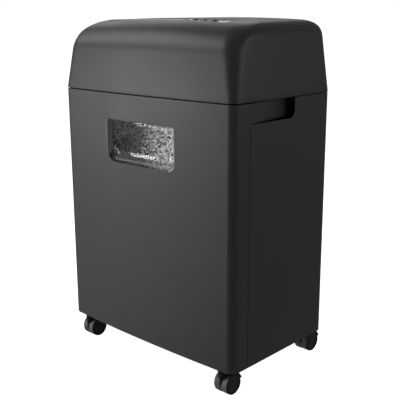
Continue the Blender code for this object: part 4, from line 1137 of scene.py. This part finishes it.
def heap_front(x, z):
    """Front of the heap: against the window low on the right, and hollow high on the left."""
    side = (x / WINDOW_HIGH.x) * 0.75 + (WINDOW_HIGH.z - z) / (WINDOW_HIGH.z - WINDOW_LOW.z) * 0.55
    open_share = max(0.0, min(1.0, (0.42 - side) / 0.75))
    ease = open_share * open_share * (3 - 2 * open_share)
    return HEAP_LOW.y + 0.0035 + 0.010 * ease


class SHREDDER_OT_shreds(bpy.types.Operator):
    """Fill the tub with curled strips of shredded paper"""
    bl_idname = "shredder.shreds"
    bl_label = "Shredded paper"

    def execute(self, context):
        sizes = context.scene.shredder_window
        inside = 0.0030
        half = TUB_HIGH.x - inside
        back = HEAP_HIGH.y - 0.001
        floor = HEAP_LOW.z
        columns, rows_up, rows_back = 48, 40, 40
        work = bmesh.new()
        cover = work.verts.layers.float.new("cover")
        grid = []
        for i in range(columns + 1):
            x = -half + 2 * half * i / columns
            line = []
            front = heap_front(x, HEAP_HIGH.z)
            top = heap_height(x, front)
            for j in range(rows_up):
                z = floor + (top - floor) * j / rows_up
                vert = work.verts.new((x, heap_front(x, z), z))
                near = abs(x) < WINDOW_HIGH.x + 0.012 and z > WINDOW_LOW.z - 0.012
                vert[cover] = 3.4 if near else 0.0
                line.append(vert)
            for j in range(rows_back + 1):
                y = front + (back - front) * j / rows_back
                vert = work.verts.new((x, y, heap_height(x, y)))
                vert[cover] = 1.0
                line.append(vert)
            grid.append(line)
        for left, right in zip(grid, grid[1:]):
            for j in range(len(left) - 1):
                work.faces.new((left[j], right[j], right[j + 1], left[j + 1]))
        skin = from_bmesh(work, "heap_skin")
        loose = shred_tree().run(
            skin, strip_length=sizes.strip_length, strip_width=sizes.strip_width,
            density=sizes.strip_density, seed=sizes.strip_seed,
            low_corner=(-half, HEAP_LOW.y + 0.0006, floor),
            high_corner=(half, back, TUB_HIGH.z - 0.004))
        # the packed mass under the loose strips
        holder = bpy.data.objects.new("heap_core", skin.copy())
        shell = holder.modifiers.new("thick", "SOLIDIFY")
        shell.thickness = 0.003
        shell.offset = -1
        core = bake(holder)
        core.materials.clear()
        work = bmesh.new()
        work.from_mesh(loose)
        work.from_mesh(core)
        heap = from_bmesh(work, "heap")
        place_piece("paper_heap", heap, "bin", "paper", ["shredded_paper"], sharp=0)
        return {"FINISHED"}


class SHREDDER_OT_head(bpy.types.Operator):
    """Build the rounded head cover"""
    bl_idname = "shredder.head"
    bl_label = "Head cover"

    def execute(self, context):
        sizes = context.scene.shredder_cabinet
        head = context.scene.shredder_head
        shell = head_solid(HEAD_LOW.z + SEAM)
        low = (BEZEL_LOW.x - GAP, BEZEL_LOW.y - GAP)
        high = (BEZEL_HIGH.x + GAP, BEZEL_HIGH.y + GAP)
        opening = plate([rounded_rectangle(low, high, head.bezel_corner)], TOP_Z - 0.03,
                        TOP_Z + PAST)
        gland_low, gland_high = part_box("cord_grommet")
        gland = [(gland_low[i] + gland_high[i]) / 2 for i in range(3)]
        flange = (gland_high.x - gland_low.x) / 2
        neck = flange - 0.0019
        hole = turned([(0.0001, -PAST), (neck, -PAST), (neck, PAST), (0.0001, PAST)],
                      (gland[0], REAR_Y, gland[2]), "Y", 40)
        inside = head_solid(HEAD_LOW.z - 0.004, sizes.wall)
        shell = carve(shell, cut(inside), cut(opening), cut(hole))
        shell = clean(shell, dissolve=False)
        shell = rounded(with_slots(shell, "graphite", "graphite_edge"), sizes.edge, 3, 34,
                        edge_slot=1, even=False)
        place_piece("head_shell", shell, "cabinet", ["graphite", "graphite_edge"], ["head_cover"],
                    sharp=34)
        return {"FINISHED"}


def key_outline(low, high, grow, radius):
    return rounded_rectangle((low.x - grow, low.y - grow), (high.x + grow, high.y + grow),
                             radius, 6)


class SHREDDER_OT_throat(bpy.types.Operator):
    """Build the polished bezel with the feed slot and the holes of the keys"""
    bl_idname = "shredder.throat"
    bl_label = "Throat bezel"

    def execute(self, context):
        head = context.scene.shredder_head
        sink, thick = head.bezel_sink, head.bezel_wall
        bezel = head_solid(TOP_Z - 0.040, sink)
        trim = plate([rounded_rectangle((BEZEL_LOW.x, BEZEL_LOW.y), (BEZEL_HIGH.x, BEZEL_HIGH.y),
                                        head.bezel_corner - GAP)], TOP_Z - 0.03, TOP_Z + PAST)
        half, gap = head.slot_width / 2, head.slot_opening / 2
        lip = TOP_Z - sink + 0.0005
        root = lip - thick - 0.001
        spread = head.funnel
        funnel = []
        for z, grow in ((root, -0.0004), (lip, spread)):
            wide, deep = half + max(grow, 0), gap + grow
            funnel.append([(x, y, z) for x, y in rounded_rectangle(
                (-wide, THROAT_Y - deep), (wide, THROAT_Y + deep), 0.0022 + 0.4 * max(grow, 0), 5)])
        slot = box_mesh((-half, THROAT_Y - gap, TOP_Z - 0.03),
                        (half, THROAT_Y + gap, TOP_Z + PAST))
        steps = [cut(head_solid(TOP_Z - 0.045, sink + thick)), ("INTERSECT", trim), cut(slot),
                 cut(loft(funnel))]
        for key in KEYS:
            low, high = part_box(key)
            inner = Vector((low.x + 0.001, low.y + 0.001))
            outer = Vector((high.x - 0.001, high.y - 0.001))
            hole = plate([key_outline(inner, outer, GAP, 0.0025)], TOP_Z - 0.03, TOP_Z + PAST)
            steps.append(cut(hole))
        lens = [(LENS_LOW[i] + LENS_HIGH[i]) / 2 for i in range(3)]
        radius = (LENS_HIGH.x - LENS_LOW.x) / 2 + GAP
        steps.append(cut(turned([(0.0001, -0.02), (radius, -0.02), (radius, 0.02), (0.0001, 0.02)],
                                lens, "Z", 32)))
        bezel = clean(carve(bezel, *steps), dissolve=False)
        bezel = rounded(with_slots(bezel, "black"), 0.00035, 2, 34, even=False)
        place_piece("throat_plate", bezel, "cabinet", "black", ["throat_bezel"],
                    sharp=34)
        # a light grey strip, raised so it catches the light, whose light colour is a painted
        # highlight along the bezel's front edge
        strip = surface_strip(*PAINTED_HIGHLIGHT_SPAN, BEZEL_LOW.y + 0.0005, BEZEL_LOW.y + 0.0031, sink, 0.00035)
        place_piece("trim_strip", strip, "cabinet", "trim", sharp=40)
        lens_mesh = turned([(ON_AXIS, 0.0070), (radius - GAP - 0.0008, 0.0070),
                            (radius - GAP - 0.0002, 0.0067), (radius - GAP, 0.0060),
                            (radius - GAP, 0.0), (ON_AXIS, 0.0)],
                           (lens[0], lens[1], LENS_LOW.z), "Z", 32)
        place_piece("indicator", lens_mesh, "cabinet", "lens", ["indicator_lens"],
                    sharp=50)
        return {"FINISHED"}


def surface_strip(left, right, front, rear, inset, rise, sunk=0.0004, steps=40):
    """A low rounded strip that follows the head's surface."""
    rings = []
    for step in range(steps + 1):
        x = left + (right - left) * step / steps
        end = 0.5 if step in (0, steps) else 1.0
        ring = []
        for y, lift in ((front, -sunk), (front, rise * 0.6), (front + 0.0003, rise),
                        (rear - 0.0003, rise), (rear, rise * 0.6), (rear, -sunk)):
            ring.append((x, y, head_height(x, y, inset) + (lift * end if lift > 0 else lift)))
        rings.append(ring)
    return loft(rings)


def key_marks(kind, middle, top):
    """A generic printed mark for a key: an arrow each way, or a ring with its bar."""
    x, y = middle
    low, high = top - 0.0004, top + 0.00002
    size = 0.0024
    if kind == "button_power":
        ring = [circle((x, y), size), circle((x, y), size * 0.68)]
        bar = rounded_rectangle((x - 0.0003, y + size * 0.1), (x + 0.0003, y + size * 1.35),
                                0.00012, 3)
        return merge(plate(ring, low, high), plate([bar], low, high + 0.00001))
    way = 1 if kind == "button_forward" else -1
    outlines = []
    for shift in (-0.55, 0.85):
        outlines.append([(x + way * size * (shift + dx), y + size * dy)
                         for dx, dy in ((-0.6, -0.95), (0.6, 0.0), (-0.6, 0.95))])
    if way < 0:
        outlines = [outline[::-1] for outline in outlines]
    return merge(*[plate([outline], low, high) for outline in outlines])


class SHREDDER_OT_keys(bpy.types.Operator):
    """Build the three keys with their printed marks"""
    bl_idname = "shredder.keys"
    bl_label = "Keys"

    def execute(self, context):
        for key in KEYS:
            low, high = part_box(key)
            middle = ((low.x + high.x) / 2, (low.y + high.y) / 2)
            body = refine(key, key + "_cap", "black", 0.0003, 3, 40)
            top = max(v.co.z for v in body.data.vertices)
            marks = key_marks(key, middle, top)
            place_piece(key + "_mark", marks, body_of(key), "ink", sharp=0)
        return {"FINISHED"}


def painted(mesh, index):
    """Put every face of a mesh in one material slot."""
    for face in mesh.polygons:
        face.material_index = index
    return mesh


def wheel_mesh(node, outward):
    """A caster wheel: plain tread, black shoulder, dished dark disc with a capped hub."""
    low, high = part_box(node)
    centre = ((low.x + high.x) / 2, (low.y + high.y) / 2, (low.z + high.z) / 2)
    radius = (high.z - low.z) / 2
    half = (high.x - low.x) / 2
    bore = 0.0029
    shoulder = 0.0012
    inside = radius - 0.0034

    def ring(profile, index):
        return painted(turned([(r, outward * x) for r, x in profile], centre, "X", 72), index)

    tread = [(inside, half - shoulder - 0.0003), (radius, half - shoulder - 0.0003),
             (radius, -half + 0.0010), (radius - 0.0004, -half + 0.0003),
             (radius - 0.0009, -half), (inside, -half)]
    edge = [(inside, half - 0.0003), (radius - 0.0014, half), (radius - 0.0008, half - 0.0002),
            (radius - 0.00005, half - shoulder + 0.0001),
            (radius - 0.00005, half - shoulder - 0.0003), (inside, half - shoulder - 0.0003)]
    face = [(bore, half - 0.0018), (0.0052, half - 0.0018), (0.0056, half - 0.0009),
            (0.0064, half - 0.0009), (0.0068, half - 0.0018), (inside - 0.0012, half - 0.0016),
            (inside - 0.0006, half - 0.0008), (inside + 0.0002, half - 0.0006),
            (inside + 0.0002, -half + 0.0004), (0.0072, -half + 0.0004), (0.0066, -half + 0.0014),
            (bore, -half + 0.0014)]
    seat = half - 0.0022
    cap = [(ON_AXIS, seat - 0.002), (0.0044, seat - 0.002), (0.0048, seat - 0.0002),
           (0.0044, seat + 0.0006), (0.0030, seat + 0.0012), (ON_AXIS, seat + 0.0014)]
    return merge(ring(tread, 0), ring(edge, 1), ring(face, 2), ring(cap, 2))


class SHREDDER_OT_casters(bpy.types.Operator):
    """Build the four casters: hood with its stem, axle and two wheels each"""
    bl_idname = "shredder.casters"
    bl_label = "Casters"

    def execute(self, context):
        for corner in CORNERS:
            tag = f"caster_{corner}"
            self.hood(context.scene.shredder_caster, tag)
            for side, outward in (("left", -1), ("right", 1)):
                node = f"{tag}_wheel_{side}"
                place_piece(f"{node}_tyre", wheel_mesh(node, outward), node,
                            ["wheel", "nylon", "disc"], [node], sharp=38)
            refine(f"{tag}_axle", f"{tag}_pin", "steel", 0.0004, 2)
        return {"FINISHED"}

    def hood(self, sizes, tag):
        wheel_low, wheel_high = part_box(f"{tag}_wheel_right")
        hood_low, hood_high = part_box(f"{tag}_hood")
        x = (hood_low.x + hood_high.x) / 2
        hub = ((wheel_low.y + wheel_high.y) / 2, (wheel_low.z + wheel_high.z) / 2)
        tread = (wheel_high.z - wheel_low.z) / 2
        outer = tread + sizes.hood_reach
        inner = outer - sizes.hood_wall
        tip, nose = math.degrees(sizes.hood_tip), math.degrees(sizes.hood_nose)
        web_reach = tread - 0.0010
        swivel_y = hub[0] - 0.0107
        stem_top = hood_high.z
        arch = arc(hub, outer, tip, nose, 40) + arc(hub, inner, nose, tip, 40)
        shell = plate([arch], hood_low.x, hood_high.x, "X")
        half_web = sizes.web / 2
        web = (arc(hub, inner + sizes.hood_wall / 2, tip + 8, nose - 2, 30)
               + [(swivel_y - 0.0062, hub[1] + 0.0118), (swivel_y - 0.0045, hub[1] + 0.0030),
                  (hub[0] - 0.0055, hub[1] - 0.0045)] + arc(hub, 0.0062, 250, 370, 16))
        boss_top = BASE_Z - 0.0022
        boss_foot = hub[1] + 0.0125
        place = (x, swivel_y, 0)
        boss = turned([(ON_AXIS, boss_foot), (0.0068, boss_foot), (0.0068, boss_top - 0.0008),
                       (0.0062, boss_top), (ON_AXIS, boss_top)], place, "Z", 40)
        stem_radius = 0.0035
        ring_z = boss_top + 0.6 * (stem_top - boss_top)
        stem = turned([(ON_AXIS, boss_top - 0.001), (stem_radius, boss_top - 0.001),
                       (stem_radius, ring_z - 0.0010), (stem_radius - 0.0006, ring_z - 0.0006),
                       (stem_radius - 0.0006, ring_z + 0.0006), (stem_radius, ring_z + 0.0010),
                       (stem_radius, stem_top - 0.0010), (stem_radius - 0.0010, stem_top),
                       (ON_AXIS, stem_top)], place, "Z", 32)
        clear = tread + 0.0005
        bore = turned([(ON_AXIS, -0.01), (0.0028, -0.01), (0.0028, 0.01), (ON_AXIS, 0.01)],
                      (x, hub[0], hub[1]), "X", 32)
        web_edge = painted(plate([[(hub[0] + 0.004, hub[1] - 0.003)]
                                  + arc(hub, web_reach, -50, -172, 30)
                                  + [(hub[0] - 0.0085, hub[1] + 0.0015)]],
                                 x - half_web + 0.0001, x + half_web - 0.0001, "X"), 1)
        rooms = [cut(plate([circle(hub, clear, 64)], *span, "X"))
                 for span in ((x + half_web, x + 0.02), (x - 0.02, x - half_web))]
        shell = carve(shell, add(boss), *rooms, add(plate([web], x - half_web, x + half_web, "X")),
                      add(stem), cut(bore))
        shell = rounded(with_slots(clean(shell), "nylon"), 0.00045, 2, 38)
        place_piece(f"{tag}_fender", merge(shell, web_edge), f"{tag}_fork", ["nylon", "wheel"],
                    [f"{tag}_hood"], sharp=38)


def cutter_disc(radius, core, width, teeth=10):
    """One cutter disc with hooked teeth."""
    outline = []
    step = 360 / teeth
    root = radius - 0.0024
    for tooth in range(teeth):
        start = tooth * step
        outline += arc((0, 0), radius, start, start + step * 0.45, 3)
        outline += arc((0, 0), root, start + step * 0.62, start + step * 0.96, 3)
    return plate([outline, circle((0, 0), core - DISC_OVERLAP, 30)], -width / 2, width / 2, "X")


class SHREDDER_OT_cutters(bpy.types.Operator):
    """Build the two cutter shafts with their rows of toothed discs"""
    bl_idname = "shredder.cutters"
    bl_label = "Cutter shafts"

    def execute(self, context):
        radius, core, journal = 0.0164, 0.0110, 0.0050
        pitch, width, count = 0.0120, 0.0052, 18
        for tag, shift in (("front", -0.25), ("rear", 0.25)):
            node = f"cutter_shaft_{tag}"
            low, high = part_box(node)
            middle = ((low.y + high.y) / 2, (low.z + high.z) / 2)
            plate_left, plate_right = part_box("frame_plate_left"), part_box("frame_plate_right")
            body_left, body_right = plate_left[1].x + 0.0015, plate_right[0].x - 0.0015
            chamfer = 0.0006
            shaft = turned([(ON_AXIS, high.x), (journal - chamfer, high.x),
                            (journal, high.x - chamfer), (journal, body_right),
                            (core, body_right), (core, body_left),
                            (journal, body_left), (journal, low.x + chamfer),
                            (journal - chamfer, low.x), (ON_AXIS, low.x)],
                           (0, *middle), "X", 48)
            places, angles = [], []
            for index in range(count):
                x = pitch * (index - (count - 1) / 2 + shift)
                places.append((x, *middle))
                angles.append(math.radians(11.0 * index + (18.0 if tag == "rear" else 0.0)))
            discs = repeat(f"discs_{tag}", cutter_disc(radius, core, width), places, "cutter",
                           angles)
            whole = rounded(with_slots(merge(shaft, discs), "cutter"), 0.00015, 1, 40, even=False)
            place_piece(f"cutter_roll_{tag}", whole, body_of(node), "cutter", [node],
                        sharp=35)
        return {"FINISHED"}


def screw_mesh():
    """A pan-head screw with a cross recess, its seat at the origin, pointing up."""
    dome = turned([(ON_AXIS, 0.0022), (0.0012, 0.0021), (0.0024, 0.0017), (0.0032, 0.0009),
                   (0.0036, 0.0), (ON_AXIS, 0.0)], (0, 0, 0), "Z", 28)
    arm, reach, depth = 0.00045, 0.0018, 0.0011
    cross = [cut(box_mesh((-reach, -arm, depth), (reach, arm, 0.004))),
             cut(box_mesh((-arm, -reach, depth), (arm, reach, 0.004)))]
    return carve(dome, *cross)


class SHREDDER_OT_screws(bpy.types.Operator):
    """Put the screws that hold the head on the cabinet"""
    bl_idname = "shredder.screws"
    bl_label = "Screws"

    def execute(self, context):
        nodes = ["head_screw_left", "head_screw_right"]
        places = []
        for node in nodes:
            low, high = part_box(node)
            places.append(((low.x + high.x) / 2, (low.y + high.y) / 2, low.z))
        screws = repeat("screws", screw_mesh(), places, "zinc")
        place_piece("head_screws", screws, "cabinet", "zinc", nodes, sharp=35)
        return {"FINISHED"}


class SHREDDER_OT_gland(bpy.types.Operator):
    """Build the gland of the mains lead, with its grip rings"""
    bl_idname = "shredder.gland"
    bl_label = "Lead gland"

    def execute(self, context):
        low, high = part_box("cord_grommet")
        x, z = (low.x + high.x) / 2, (low.z + high.z) / 2
        flange = (high.x - low.x) / 2
        bore, neck = 0.0038, flange - 0.0022
        tip = high.y
        profile = [(bore, tip), (neck - 0.0014, tip), (neck - 0.0009, tip - 0.0005),
                   (neck - 0.0006, tip - 0.0022), (flange - 0.0004, tip - 0.0028),
                   (flange, tip - 0.0032), (flange, tip - 0.0047), (flange - 0.0003, tip - 0.0049),
                   (neck, tip - 0.0049), (neck, low.y + 0.0006), (neck - 0.0006, low.y),
                   (bore, low.y)]
        mesh = turned(profile, (x, 0, z), "Y", 48)
        place_piece("lead_gland", mesh, "cabinet", "nylon", ["cord_grommet"],
                    sharp=35)
        return {"FINISHED"}


# frame nodes that keep their shape: piece name, finish, rounding of the edges
PLAIN_PARTS = {
    "cabinet_base": ("base_plate", "dark", 0.0004),
    "cabinet_top_frame": ("top_frame", "dark", 0.0004),
    "head_base": ("head_floor", "dark", 0.0004),
    "bin_tub": ("tub", "dark", 0.0004),
    "bin_runner_left": ("runner_left", "acetal", 0.0),
    "bin_runner_right": ("runner_right", "acetal", 0.0),
    "feed_guide": ("paper_guide", "nylon", 0.0002),
    "control_board": ("key_board", "board", 0.0001),
    "power_board": ("mains_board", "board", 0.0001),
    "frame_plate_left": ("side_plate_left", "zinc", 0.0002),
    "frame_plate_right": ("side_plate_right", "zinc", 0.0002),
    "stripper_front": ("comb_front", "zinc", 0.0001),
    "stripper_rear": ("comb_rear", "zinc", 0.0001),
    "tie_bar_front": ("bar_front", "steel", 0.0003),
    "tie_bar_rear": ("bar_rear", "steel", 0.0003),
    "motor_body": ("motor_can", "zinc", 0.0004),
    "gear_cover": ("gear_box", "nylon", 0.0004),
    "bin_switch": ("reed_switch", "nylon", 0.0003),
    "bin_magnet": ("magnet", "zinc", 0.0003),
}
# frame nodes that are shown as they are, by finish
KEPT_NODES = {
    "steel": ("compound_axle", "motor_shaft", "motor_pinion", "shaft_gear_front",
              "shaft_gear_rear"),
    "acetal": ("compound_gear",),
    "bronze": tuple(f"shaft_bush_{a}_{b}" for a in ("front", "rear") for b in ("left", "right")),
}


class SHREDDER_OT_inner_parts(bpy.types.Operator):
    """Finish the inner parts, with their edges rounded"""
    bl_idname = "shredder.inner_parts"
    bl_label = "Inner parts"

    def execute(self, context):
        for node, (name, look, width) in PLAIN_PARTS.items():
            refine(node, name, look, width)
        for look, nodes in KEPT_NODES.items():
            for node in nodes:
                slots = frame["nodes"][node].data.materials
                if slots:
                    slots[0] = LOOKS[look]
                else:
                    slots.append(LOOKS[look])
        return {"FINISHED"}


# ------------------------------------------------------------ stage
CAMERA_PLACE = (0.8261, -0.8727, 0.5605)
CAMERA_TARGET = (0.0137, -0.0041, 0.2585)
CAMERA_ROLL = math.radians(-0.22)
CAMERA_LENS = 66.8
WORLD_LIGHT = 0.17
# name: (place, target, width, height, strength)
SOFT_BOXES = {
    "front": ((-1.15, -1.35, 0.60), (0.0, -0.1, 0.60), 1.3, 1.0, 5.0),
    "low": ((-1.15, -1.35, -0.35), (0.0, -0.1, -0.35), 1.3, 0.8, 2.9),
    "upper": ((-1.10, -0.75, 1.50), (0.0, -0.05, 0.50), 1.2, 0.9, 10.0),
    "back": ((-1.35, 1.15, 1.50), (-0.2, 0.0, 0.65), 1.4, 0.6, 4.9),
    "side": ((1.50, 0.55, 0.80), (0.18, 0.0, 0.30), 1.2, 1.0, 3.3),
    "glint": ((-1.35, -1.40, 0.36), (0.02, -0.1, 0.35), 0.10, 0.5, 4.2),
    "spark": ((-0.42, -2.00, 0.66), (-0.06, -0.1, 0.35), 0.16, 0.3, 2.2),
}


class SHREDDER_OT_stage(bpy.types.Operator):
    """Set the floor, the soft lights and the camera"""
    bl_idname = "shredder.stage"
    bl_label = "Stage"

    def execute(self, context):
        scene = context.scene
        scene.view_settings.view_transform = "Standard"
        self.floor(scene)
        for name, (place, target, width, height, strength) in SOFT_BOXES.items():
            lamp_data = bpy.data.lights.new(name, "AREA")
            lamp_data.shape = "RECTANGLE"
            lamp_data.size, lamp_data.size_y = width, height
            lamp_data.energy = strength
            box = bpy.data.objects.new(name, lamp_data)
            scene.collection.objects.link(box)
            box.location = place
            aim = Vector(target) - Vector(place)
            box.rotation_euler = aim.to_track_quat("-Z", "Y").to_euler()
        world = bpy.data.worlds.new("studio")
        world.use_nodes = True
        nodes, links = world.node_tree.nodes, world.node_tree.links
        path = nodes.new("ShaderNodeLightPath")
        shine = nodes.new("ShaderNodeMapRange")
        # white for the eye, dim for the light it sheds
        shine.inputs["To Min"].default_value = WORLD_LIGHT
        shine.inputs["To Max"].default_value = 1.0
        links.new(path.outputs["Is Camera Ray"], shine.inputs["Value"])
        back = nodes["Background"]
        back.inputs["Color"].default_value = (1.0, 1.0, 1.0, 1.0)
        links.new(shine.outputs[0], back.inputs["Strength"])
        scene.world = world
        eye = bpy.data.cameras.new("view")
        eye.lens = CAMERA_LENS
        eye.sensor_width = 36.0
        camera = bpy.data.objects.new("view", eye)
        scene.collection.objects.link(camera)
        aim = (Vector(CAMERA_TARGET) - Vector(CAMERA_PLACE)).to_track_quat("-Z", "Y").to_matrix()
        turn = Matrix.Rotation(CAMERA_ROLL, 3, "Z")
        camera.matrix_world = Matrix.Translation(CAMERA_PLACE) @ (aim @ turn).to_4x4()
        scene.camera = camera
        return {"FINISHED"}

    def floor(self, scene):
        look = Look("pale_floor", Specular_IOR_Level=0.1)
        tint = tuple(scene.shredder_colours.floor)
        cloud = look.noise(3.0, 4.0)
        look.colour(look.mix(cloud, shade(tint, 0.98), tint))
        look.rough(cloud.step(0.3, 0.7, 0.75, 0.9))
        look.bump(look.noise(400.0, 2.0), 0.0002, 0.2)
        look.feed(look.shader.inputs["Emission Color"],
                  look.mix(cloud, (0.99, 0.99, 0.99), (1, 1, 1)))
        look.feed(look.shader.inputs["Emission Strength"], 1.0)
        work = bmesh.new()
        bmesh.ops.create_grid(work, x_segments=8, y_segments=8, size=30.0)
        floor = bpy.data.objects.new("floor", from_bmesh(work, "floor"))
        floor.data.materials.append(look.material)
        floor.visible_glossy = False
        floor.visible_diffuse = False
        floor.visible_shadow = False
        scene.collection.objects.link(floor)


class SHREDDER_PT_panel(bpy.types.Panel):
    """Lists the pieces and their sizes"""
    bl_idname = "SHREDDER_PT_panel"
    bl_label = "Paper shredder"
    bl_space_type = "VIEW_3D"
    bl_region_type = "UI"
    bl_category = "Shredder"

    def draw(self, context):
        for group in GROUPS:
            box = self.layout.box()
            box.label(text=group.__doc__)
            settings = getattr(context.scene, group_name(group))
            for name in group.__annotations__:
                box.prop(settings, name)
        for operator in OPERATORS:
            self.layout.operator(operator.bl_idname)


GROUPS = (ShredderCabinet, ShredderHead, ShredderWindow, ShredderCaster, ShredderColours)
OPERATORS = (
    SHREDDER_OT_looks, SHREDDER_OT_cabinet, SHREDDER_OT_door, SHREDDER_OT_window,
    SHREDDER_OT_shreds, SHREDDER_OT_head, SHREDDER_OT_throat, SHREDDER_OT_keys,
    SHREDDER_OT_casters, SHREDDER_OT_cutters, SHREDDER_OT_screws, SHREDDER_OT_gland,
    SHREDDER_OT_inner_parts, SHREDDER_OT_stage,
)


def group_name(group):
    return "shredder_" + group.__name__.removeprefix("Shredder").lower()


def register():
    for kind in GROUPS + OPERATORS + (SHREDDER_PT_panel,):
        bpy.utils.register_class(kind)
    for group in GROUPS:
        setattr(bpy.types.Scene, group_name(group), PointerProperty(type=group))


def unregister():
    for group in GROUPS:
        delattr(bpy.types.Scene, group_name(group))
    for kind in reversed(GROUPS + OPERATORS + (SHREDDER_PT_panel,)):
        bpy.utils.unregister_class(kind)


def main():
    register()
    for operator in OPERATORS:
        family, name = operator.bl_idname.split(".")
        getattr(getattr(bpy.ops, family), name)()


if __name__ == "__main__":
    main()
